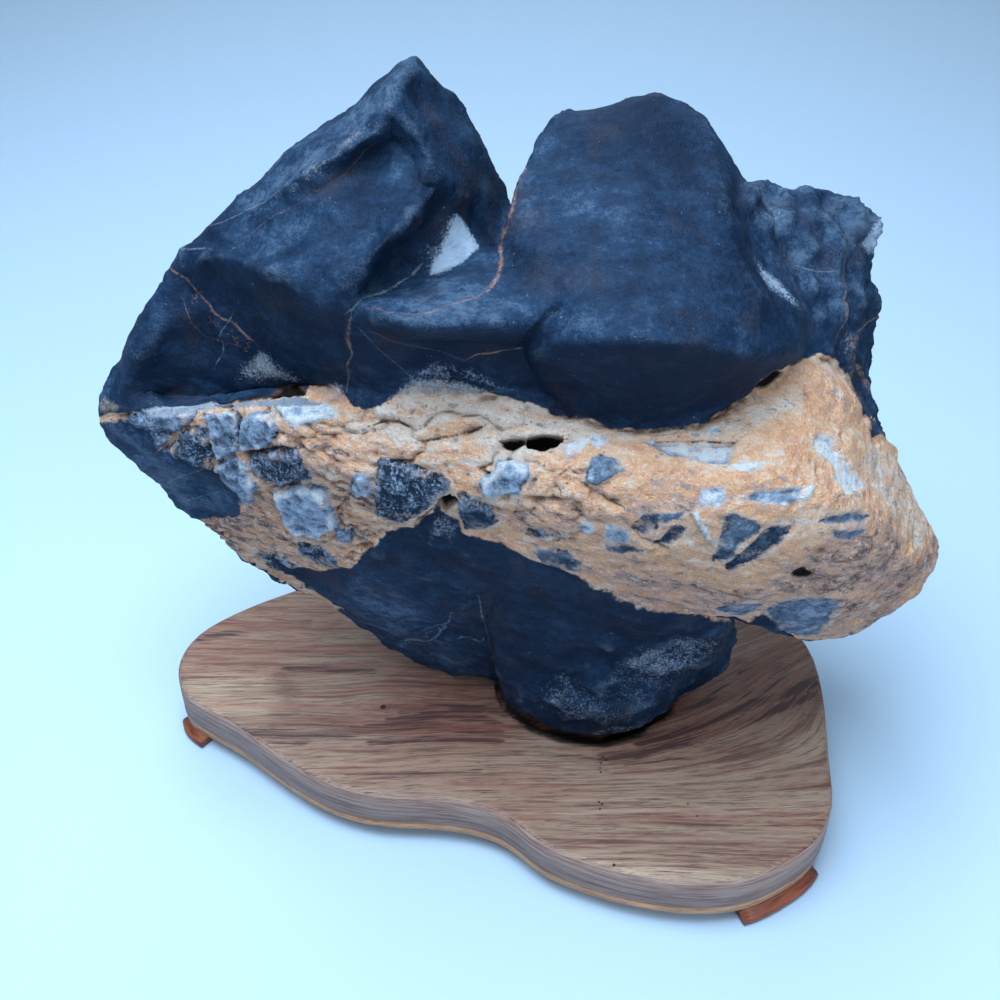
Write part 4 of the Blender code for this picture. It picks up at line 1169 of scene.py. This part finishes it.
def limestone_colour(rock):
    """Blue-black stone: clouded and sandy, with painted light where it looks up, and paler worn edges and
    ridges that are partly a painted highlight.
    """
    clouds = rock.noise(24, 2, 0.6, distortion=0.6).rise(0.32, 0.68)
    mottle = rock.noise(5.5, 4, 0.7, stretch=(1.4, 1, 0.8), shift=17.0).rise(0.30, 0.70)
    flecks = rock.noise(1.6, 3, 0.8, shift=77.0).rise(0.34, 0.66)
    sand = rock.noise(0.5, 2, 0.8, shift=4.0).rise(0.3, 0.7)
    # Painted light: faces that look up are painted paler.
    painted_top_light = rock.kept("skyward").rise(-0.4, 0.8)
    share = clouds * 0.30 + mottle * 0.46 + flecks * 0.26 + sand * 0.20 + painted_top_light * 0.25
    # The kept tone paints shade and light into the stone from the drawn stretches.
    share = share + rock.kept("tone") * 0.38 - 0.31
    base = rock.mix(share.clamped() ** 1.5, DEEP_SLATE, SLATE)
    base = rock.mix(share.rise(0.65, 1.45) * 0.75, base, BLOOM_AND_HIGHLIGHT)
    # Worn edges and ridges are painted paler: partly wear, partly a painted highlight.
    worn_edge_and_highlight = (rock.kept("edge").rise(0.06, 0.40) * (mottle * 0.6 + sand * 0.7 - 0.15)).clamped()
    base = rock.mix(worn_edge_and_highlight * 0.25, base, BLOOM_AND_HIGHLIGHT)
    ridge_bloom_and_highlight = (rock.kept("ridge").rise(0.2, 0.9) * (mottle + sand - 0.8)).clamped()
    base = rock.mix(ridge_bloom_and_highlight * 0.35, base, BLOOM_AND_HIGHLIGHT)
    stain = rock.noise(20, 2, 0.6, shift=51.0).rise(0.54, 0.68) * sand
    base = rock.mix(stain * 0.5, base, UMBER)
    specks = rock.noise(1.3, 1, shift=31.0).rise(0.76, 0.80)
    return rock.mix(specks * 0.25, base, DUST)


def vein_share(rock, name, wobble):
    """Where a family of kept lines shows: of uneven width and broken here and there."""
    swell = rock.noise(3.2, 2, shift=23.0) * 1.3 + 0.35
    edge = abs(rock.kept(name) + (rock.noise(1.1, 3, 0.7) - 0.5) * wobble)
    gaps = (rock.noise(3.5, 3, 0.7, shift=12.0) + rock.noise(0.8, 2, shift=6.0) * 0.4).rise(0.52, 0.80)
    return (edge / swell).rise(1.15, 0.45) * rock.kept(name + "_near") * (0.05 + gaps * 0.95)


def with_veins(rock, base):
    """The stone crossed by its rusty and its pale veins."""
    rusty = rock.mix(rock.noise(1.6, 2).rise(0.35, 0.7), RUST, SAND)
    net = abs(rock.noise(9, 3, 0.7, stretch=(1.2, 1, 0.8), shift=66.0) - 0.5)
    broken = rock.noise(2.6, 2, 0.7, shift=44.0).rise(0.46, 0.60) * rock.kept("network")
    base = rock.mix(net.rise(0.012, 0.003) * broken * 0.45, base, rusty)
    base = rock.mix(vein_share(rock, "orange_vein", 2.4) * 0.8, base, rusty)
    return rock.mix(vein_share(rock, "pale_vein", 2.4) * 0.55, base, CALCITE)


def with_dust(rock, base):
    """Pale dust and crust that breaks into grains where it thins."""
    grains = rock.noise(0.75, 2, 0.75, shift=14.0)
    clots = rock.noise(4.5, 3, 0.65, stretch=(1, 1.4, 1), shift=3.0)
    lie = grains * 0.6 + clots * 0.4
    dust = rock.kept("dust")
    share = lie.rise(0.94 - dust * 0.86, 1.22 - dust * 0.82) * dust.rise(0.02, 0.2)
    pale = rock.mix(rock.kept("dust_warmth"), DUST, TAN_DUST)
    pale = rock.mix(clots.rise(0.40, 0.7) * 0.45, pale, DUST_SHADE)
    return rock.mix(share, base, pale)


# The belt: its sandy cement and its pebbles.
CREAM = colour(0.62, 0.475, 0.395)
TAN = colour(0.64, 0.385, 0.25)
OCHRE = colour(0.66, 0.320, 0.165)
PINK_BROWN = colour(0.46, 0.275, 0.215)
DARK_BROWN = colour(0.12, 0.060, 0.045)
IRON = colour(0.52, 0.215, 0.105)
GRIT = colour(0.80, 0.66, 0.56)
PEBBLE_DARK = colour(0.014, 0.026, 0.048)
PEBBLE_BLUE = colour(0.11, 0.145, 0.205)
PEBBLE_PALE = colour(0.30, 0.36, 0.46)
PEBBLE_WHITE = colour(0.60, 0.58, 0.58)


def cement_colour(rock):
    """Sandy cement: cream, tan, ochre and brown in patches, with grit and dark pits, painted shade in its
    hollows and paler grit on raised parts that is partly a painted highlight.
    """
    patches = rock.noise(12, 4, 0.7, stretch=(1.6, 1, 0.8), turn=(0, 0.3, 0), shift=20.0)
    blotches = rock.noise(2.6, 3, 0.7, stretch=(2.4, 1, 0.7), turn=(0, 0.3, 0), shift=8.0)
    grit = rock.noise(0.75, 2, 0.75)
    varied = rock.kept("speckled") * 0.8
    shade = rock.kept("cement") + (patches - 0.5) * (varied + 1.4) + (blotches - 0.5) * (varied + 1.1)
    base = rock.ramp(shade.clamped(), (0.08, CREAM), (0.36, TAN), (0.56, OCHRE), (0.76, PINK_BROWN),
                     (0.98, DARK_BROWN))
    iron = rock.noise(6.5, 4, 0.75, stretch=(1.6, 1, 0.7), shift=37.0)
    base = rock.mix(iron.rise(0.54, 0.66) * 0.6, base, IRON)
    base = rock.mix(iron.rise(0.45, 0.34) * 0.4, base, GRIT)
    base = rock.mix(grit.rise(0.52, 0.70) * 0.42, base, GRIT)
    base = rock.mix(grit.rise(0.50, 0.32) * blotches.rise(0.36, 0.60) * 0.6, base, PINK_BROWN)
    pits = rock.noise(1.9, 1, shift=55.0).rise(0.28, 0.22)
    base = rock.mix(pits * 0.7, base, DARK_BROWN)
    # Painted shade: the cement is darkened in its hollows.
    painted_hollow_shade = rock.kept("ridge").rise(-0.10, -0.75)
    base = rock.mix((painted_hollow_shade * (0.5 + blotches * 0.6)).clamped() * 0.8, base, DARK_BROWN)
    # Raised parts are painted paler with grit: partly grit, partly a painted highlight.
    lifted_grit_and_highlight = rock.kept("ridge").rise(0.1, 0.7) * grit.rise(0.35, 0.6)
    base = rock.mix(lifted_grit_and_highlight * 0.35, base, GRIT)
    bits = rock.noise(2.6, 2, 0.5, stretch=(1.7, 1, 0.8), shift=61.0)
    base = rock.mix(bits.rise(0.67, 0.70) * 0.5, base, PEBBLE_BLUE)
    return rock.mix(bits.rise(0.32, 0.29) * 0.5, base, PEBBLE_WHITE)


def pebble_colour(rock):
    """Broken limestone: from slate to almost white, clouded and speckled, with a painted highlight at the
    top and on raised edges and painted shade in dips.
    """
    mottle = rock.noise(4.0, 3, 0.7, shift=5.0)
    bands = rock.noise(1.8, 2, stretch=(4, 1, 1), turn=(0, 0.4, 0), shift=2.0)
    specks = rock.noise(0.9, 2, 0.8, shift=41.0)
    painted_top_highlight = rock.kept("skyward").rise(0.1, 0.8) * 0.15
    tone = rock.kept("pebble_tone") + (mottle - 0.5) * 1.1 + (bands - 0.5) * 0.25 + (specks - 0.5) * 0.5
    # Painted highlight on raised edges and painted shade in dips.
    tone = tone + (rock.kept("edge") * 1.1).clamped() - (rock.kept("edge") * -1.3).clamped()
    base = rock.ramp((tone + painted_top_highlight - 0.05).clamped(), (0.05, PEBBLE_DARK), (0.42, PEBBLE_BLUE),
                     (0.74, PEBBLE_PALE), (0.95, PEBBLE_WHITE))
    flecks = (specks * 0.7 + mottle * 0.4).rise(0.56, 0.66) * rock.kept("speckled")
    return rock.mix(flecks * 0.75, base, PEBBLE_PALE)


def breccia_colour(rock):
    """Cement with pebbles set in it, each with an uneven stained rim."""
    wander = (rock.noise(3.4, 3, 0.65) - 0.5) * 3.0 + (rock.noise(0.9, 2, shift=7.0) - 0.5) * 0.7
    depth = rock.kept("pebble") + wander + rock.kept("speckled") * 0.45
    blur = rock.noise(6.0, 2, shift=71.0).rise(0.35, 0.7)
    base = rock.mix(depth.rise(-1.3, 0.0) * blur * 0.7, cement_colour(rock), CREAM)
    film = rock.noise(5.0, 4, 0.75, shift=90.0).rise(0.50, 0.64) * 0.55
    inside = depth.rise(-0.15 - blur * 0.5, 0.15 + blur * 0.8) * (1 - film * depth.rise(4.0, 0.6))
    return rock.mix(inside, base, pebble_colour(rock))


def rock_finish():
    """The rock's stone all over."""
    rock = Finish("limestone_and_breccia")
    edge = rock.kept("belt") + (rock.noise(4.5, 3, 0.6) - 0.5) * 3.0
    in_belt = edge.rise(-0.25, 0.45)
    lime = with_veins(rock, limestone_colour(rock))
    shade = with_dust(rock, rock.mix(in_belt, lime, breccia_colour(rock)))
    crack = vein_share(rock, "crack", 1.2)
    rim = rock.kept("hole").rise(0.0, 0.3) * 0.7
    shade = rock.mix(rim, shade, DARK_BROWN)
    # Painted shadow: the insides of the holes, the cracks and the shadow lines are painted near black.
    inside = rock.kept("hole").rise(0.30, 0.65)
    shade = rock.mix((crack * 0.9).most(inside), shade, PIT_DARK)
    rock.set("Base Color", shade)
    grain = rock.noise(0.75, 2, 0.75)
    rock.set("Roughness", (0.46 + grain * 0.2 + in_belt * 0.25 + rock.kept("dust") * 0.25).clamped())
    rock.set("Specular IOR Level", 0.10)
    coarse = rock.kept("belt").rise(-0.25, 0.45) * 1.1 + 0.6
    relief = rock.noise(1.7, 4, 0.8) * coarse + rock.noise(7, 2, 0.5, shift=3.0) * 0.6
    rock.bump(relief, 1.0, 1.0)
    return rock.material


# The wood of the stand.
WOOD_TAN = colour(0.365, 0.243, 0.168)
WOOD_BROWN = colour(0.145, 0.058, 0.040)
WOOD_UMBER = colour(0.050, 0.018, 0.018)
WOOD_RED = colour(0.23, 0.073, 0.047)
WOOD_PALE = colour(0.54, 0.37, 0.25)
WOOD_GREY = colour(0.52, 0.375, 0.32)
BEAD_LIGHT = colour(0.62, 0.32, 0.15)
BEAD_DARK = colour(0.33, 0.135, 0.060)
FOOT_LIGHT = colour(0.34, 0.080, 0.024)
FOOT_DARK = colour(0.10, 0.015, 0.007)

# The plate's grain: how much longer than wide its fibres are, how it climbs at the back right,
# and the knot that it bows round, with the radius of the knot's eye.
FIBRE_LENGTH = 24.0
GRAIN_CLIMB = 0.55
KNOT = (383, 707)
KNOT_EYE = 0.9
KNOT_BOW = 3.0
KNOT_REACH = 14.0
PLATE_GRID = 1.5
FLAT_TOP = 0.99

# The plate's figure. Dark streaks: half width, strength, line. Zones: strength, fade, outline.
DARK_STREAKS = (
    (1.6, 0.95, ((246, 735), (305, 737), (341, 733), (387, 727), (432, 727), (500, 732))),
    (1.4, 0.75, ((388, 722), (440, 716), (480, 718), (503, 726))),
    (1.2, 0.65, ((400, 711), (440, 706), (480, 708), (506, 714))),
    (1.3, 0.60, ((370, 742), (440, 738), (500, 744))),
    (1.1, 0.60, ((287, 668), (330, 671), (375, 672))),
    (0.9, 0.60, ((348, 773), (400, 774), (480, 773))),
    (1.5, 0.80, ((600, 757), (640, 752), (690, 740), (739, 722), (801, 700), (826, 690))),
    (1.8, 0.90, ((640, 742), (690, 729), (739, 710), (801, 688), (822, 680))),
    (1.6, 0.50, ((640, 722), (700, 706), (760, 690), (818, 666))),
    (3.0, 0.55, ((742, 668), (775, 664))),
    (0.9, 0.50, ((440, 690), (480, 700), (500, 706))),
    (0.9, 0.50, ((540, 754), (620, 762), (700, 758), (760, 748))),
    (1.0, 0.45, ((196, 640), (250, 628), (310, 622))),
    (0.8, 0.40, ((500, 800), (580, 806), (640, 804))),
)
RED_ZONES = (
    (0.80, 5.0, ((182, 650), (206, 618), (262, 600), (330, 600), (352, 626), (300, 650), (270, 668),
                 (200, 674))),
    (0.85, 4.0, ((372, 644), (440, 664), (500, 694), (500, 704), (440, 690), (384, 670))),
    (0.80, 5.0, ((394, 704), (500, 704), (520, 750), (440, 748), (400, 744))),
    (0.70, 7.0, ((560, 750), (640, 712), (700, 680), (770, 630), (810, 650), (824, 690), (800, 720),
                 (700, 764), (620, 772))),
    (0.45, 6.0, ((280, 748), (480, 748), (560, 764), (560, 796), (400, 800), (300, 776))),
)
PALE_ZONES = (
    (0.80, 4.0, ((178, 676), (220, 670), (268, 672), (282, 700), (262, 718), (215, 718), (186, 704))),
    (0.45, 5.0, ((300, 676), (380, 680), (384, 700), (330, 712), (290, 708))),
    (0.40, 6.0, ((540, 850), (640, 850), (720, 876), (640, 884), (560, 874))),
)
# Painted shadow: the plate's top painted near black in the gap between the socket's edge and the rock's
# foot.
SOCKET_GAP_SHADOW = (
    (496, 684), (503, 680), (515, 706), (540, 728), (600, 738), (650, 720), (668, 704), (674, 712),
    (662, 722), (652, 724), (640, 738), (604, 748), (560, 743), (530, 732), (506, 712),
)
# Worm holes: radius and middles.
PIN_HOLES = (
    (0.35, ((603, 757), (606, 760), (601, 763))), (0.3, ((600, 768), (601, 772))),
    (0.3, ((599, 802), (602, 804), (600, 809))), (0.45, ((614, 865),)), (0.25, ((688, 804), (697, 816))),
)


def plate_point(px, py):
    """The place on the plate's top, in millimetres, that a point of the camera's frame falls on."""
    place, forward, right, up = view_axes()
    aim = forward + (right * (px - VIEW_SIZE / 2) + up * (VIEW_SIZE / 2 - py)) / view_scale()
    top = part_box("base_plate")[1][2] / MM
    return place + aim * ((top - place.z) / aim.z)


def grain_levels(skin):
    """The place across the grain, which climbs at the back right and bows round the knot."""
    along, across = skin.places[:, 0], skin.places[:, 1]
    climb = GRAIN_CLIMB * np.maximum(along - 25.0, 0.0) * rise(across, -55.0, 25.0)
    knot = plate_point(*KNOT)
    beside = across - knot.y
    nearness = np.exp(-(((along - knot.x) / KNOT_REACH) ** 2) - np.abs(beside) / KNOT_REACH)
    bow = KNOT_BOW * np.tanh(beside / KNOT_BOW) * nearness
    return across - climb - bow + 1.6 * skin.noise(40, 2, (2, 1, 1))


def mark_plate(plate):
    """Keep the wood's figure, which runs right through, on the plate's vertices."""
    skin = Skin(plate)
    skin.seen[:] = True
    marks = Marks(skin)
    dark = np.zeros(len(skin.places))
    for half_width, strength, line in DARK_STREAKS:
        gap = np.abs(marks.line(line))
        dark = np.maximum(dark, strength * (1 - rise(gap, half_width * 0.4, half_width * 1.8)))
    skin.keep("grain", grain_levels(skin))
    skin.keep("dark", dark)
    skin.keep("red", areas(skin, marks, RED_ZONES))
    skin.keep("pale", areas(skin, marks, PALE_ZONES))
    # Painted shadow in the socket's gap.
    skin.keep("gap", areas(skin, marks, [(1.0, 0.6, SOCKET_GAP_SHADOW)]))


def plate_finish():
    """Bare wood: fine dark fibres on tan, brown and red streaks, a dark heart line and worm holes."""
    wood = Finish("streaked_wood")
    normal = wood.node("ShaderNodeNewGeometry", output="True Normal")
    side = abs(wood.node("ShaderNodeSeparateXYZ", inputs={0: normal}, output=2)).rise(0.9, 0.3)
    spot = wood.node("ShaderNodeCombineXYZ", inputs={
        0: wood.along(0) / FIBRE_LENGTH,
        1: wood.kept("grain") * (1 - side) + wood.along(1) / FIBRE_LENGTH * side,
        2: wood.along(2),
    })

    def drawn(name):
        return wood.kept(name) * (1 - side)

    def streaks(size, detail, shift, roughness=0.65):
        place = wood.node("ShaderNodeVectorMath", {"operation": "ADD"}, {0: spot, 1: (shift, shift, 0.0)})
        inputs = {"Vector": place, "Scale": 1 / size, "Detail": detail, "Roughness": roughness,
                  "Distortion": 0.2}
        return wood.node("ShaderNodeTexNoise", inputs=inputs)

    broad = streaks(14.0, 3, 3.0).rise(0.32, 0.68)
    bands = streaks(4.0, 3, 40.0).rise(0.30, 0.70)
    fibres = streaks(1.1, 3, 90.0, 0.75).rise(0.32, 0.68)
    hairs = streaks(0.45, 2, 190.0, 0.7).rise(0.30, 0.70)
    pores = wood.noise(0.5, 2, 0.6, stretch=(10, 1, 1), turn=(0, 0, 0.06), shift=8.0)
    level = broad * 0.40 + bands * 0.45 + fibres * 0.35 + hairs * 0.30 - 0.30
    base = wood.mix(level.clamped(), WOOD_BROWN, WOOD_TAN)
    base = wood.mix(drawn("pale") * (0.35 + bands * 0.4 + hairs * 0.25), base, WOOD_PALE)
    reddish = drawn("red").most(streaks(7.0, 3, 150.0).rise(0.48, 0.62) * 0.85)
    base = wood.mix((reddish * (1.25 - bands * 0.5 - fibres * 0.4)).clamped() * 0.8, base, WOOD_RED)
    heart = drawn("dark") + (bands - 0.5) * 1.0 + (fibres - 0.5) * 0.9 + (hairs - 0.5) * 0.4
    base = wood.mix(heart.rise(0.45, 1.0) * 0.9, base, WOOD_UMBER)
    base = wood.mix((1 - fibres).rise(0.50, 0.92) * (1 - bands * 0.5) * 0.55, base, WOOD_UMBER)
    base = wood.mix(pores.rise(0.56, 0.70) * 0.5, base, WOOD_UMBER)
    base = wood.mix(side * 0.7, base, wood.mix(fibres * 0.5 + hairs * 0.3, WOOD_BROWN, WOOD_GREY))
    # Painted shadow: near black where the socket's gap lies in shade.
    base = wood.mix(drawn("gap"), base, PIT_DARK)
    base = wood.mix(pin_hole_share(wood), base, PIT_DARK)
    wood.set("Base Color", base)
    wood.set("Roughness", 0.52 + fibres * 0.12)
    wood.set("Specular IOR Level", 0.3)
    wood.bump(fibres * 0.6 + pores * 0.4, 0.12)
    return wood.material


def pin_hole_share(wood):
    """Where the small worm holes and the knot's eye are."""
    share = None
    for radius, points in (*PIN_HOLES, (KNOT_EYE, (KNOT,))):
        for point in points:
            inputs = {0: wood.place(), 1: tuple(plate_point(*point))}
            gap = wood.node("ShaderNodeVectorMath", {"operation": "DISTANCE"}, inputs, output="Value")
            hole = (gap + (wood.noise(0.8, 2) - 0.5) * 0.5).rise(radius + 0.25, radius - 0.15)
            share = hole if share is None else share.most(hole)
    return share


def varnished_finish(name, light, dark):
    """Orange-brown varnished wood with soft darker grain."""
    wood = Finish(name)
    grain = wood.noise(1.0, 4, 0.7, stretch=(14, 14, 1), distortion=0.3).rise(0.3, 0.7)
    clouds = wood.noise(9, 3, 0.6, shift=6.0)
    base = wood.mix((grain * 0.8 + clouds * 0.7 - 0.30).clamped(), dark, light)
    base = wood.mix(wood.noise(0.6, 2, stretch=(8, 8, 1)).rise(0.58, 0.72) * 0.6, base, WOOD_UMBER)
    wood.set("Base Color", base)
    wood.set("Roughness", 0.36 + grain * 0.2)
    wood.bump(grain, 0.1)
    return wood.material


# The room: its light, the floor, and each lamp's place, width in metres and power in watts.
LIGHT = (0.62, 0.82, 1.0)
ROOM_STRENGTH = 0.12
FLOOR_PAINT = colour(0.40, 0.49, 0.60)
LAMPS = {
    "overhead_lamp": ((-160, -120, 900), 0.7, 20.0),
    "back_lamp": ((0, 1100, 900), 1.2, 10.0),
    "front_lamp": ((380, -900, 420), 1.0, 8.0),
}


def make_lights():
    """A pale room with a lamp overhead, one behind and a weak one in front."""
    world = bpy.data.worlds.new("room")
    world.use_nodes = True
    background = world.node_tree.nodes["Background"]
    background.inputs["Color"].default_value = colour(*LIGHT)
    background.inputs["Strength"].default_value = ROOM_STRENGTH
    bpy.context.scene.world = world
    for name, (place, size, power) in LAMPS.items():
        lamp = bpy.data.lights.new(name, "AREA")
        lamp.size = size
        lamp.energy = power
        lamp.color = LIGHT
        holder = bpy.data.objects.new(name, lamp)
        holder.location = Vector(place) * MM
        holder.rotation_euler = Vector(place).to_track_quat("Z", "Y").to_euler()
        bpy.context.scene.collection.objects.link(holder)


def make_floor():
    """The pale floor."""
    bpy.ops.mesh.primitive_plane_add(size=6.0)
    floor = bpy.context.object
    floor.name = "floor"
    paint = Finish("pale_floor")
    paint.set("Base Color", FLOOR_PAINT)
    paint.set("Roughness", 0.7)
    floor.data.materials.append(paint.material)


def dress_stand_piece(piece, node, finish):
    """Shade a copied piece's curved sides smooth, finish it and put it in its node's place."""
    select_for_edit(piece)
    bpy.ops.object.shade_smooth_by_angle(angle=SMOOTH_ANGLE)
    piece.data.materials.append(finish)
    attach(piece, "root")
    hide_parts(node)


def make_plate():
    """The plate, its top cut into a fine grid that carries the wood's figure."""
    plate = copy_of_node("base_plate", "plate")
    low, high = (Vector(corner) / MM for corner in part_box("base_plate"))
    edit_faces(plate, [face.normal.z < FLAT_TOP for face in plate.data.polygons])
    bpy.ops.mesh.hide(unselected=False)
    for axis in (0, 1):
        normal = [0, 0, 0]
        normal[axis] = 1
        for step in range(1, int((high[axis] - low[axis]) / PLATE_GRID)):
            point = Vector(low)
            point[axis] += step * PLATE_GRID
            bpy.ops.mesh.select_all(action="SELECT")
            bpy.ops.mesh.bisect(plane_co=point * MM, plane_no=normal)
    bpy.ops.mesh.reveal()
    bpy.ops.object.mode_set(mode="OBJECT")
    mark_plate(plate)
    dress_stand_piece(plate, "base_plate", plate_finish())


def make_stand():
    """The plate, its bead and its bracket feet."""
    make_plate()
    bead = varnished_finish("bead_wood", BEAD_LIGHT, BEAD_DARK)
    dress_stand_piece(copy_of_node("base_rim", "bead"), "base_rim", bead)
    varnish = varnished_finish("foot_wood", FOOT_LIGHT, FOOT_DARK)
    for side in ("front_right", "back_right", "back_left", "left"):
        foot = copy_of_node("foot_" + side, "bracket_foot_" + side)
        dress_stand_piece(foot, "foot_" + side, varnish)


def make_rock():
    """The whole rock in the place of its solid."""
    rock = refined_rock()
    mark_rock(rock)
    for face in rock.data.polygons:
        face.use_smooth = True
    rock.data.materials.append(rock_finish())
    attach(rock, "root")
    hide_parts("stone")


def main():
    """Set up the view and build the pieces."""
    bpy.context.scene.view_settings.view_transform = "Standard"
    make_camera()
    make_lights()
    make_floor()
    make_rock()
    make_stand()


main()
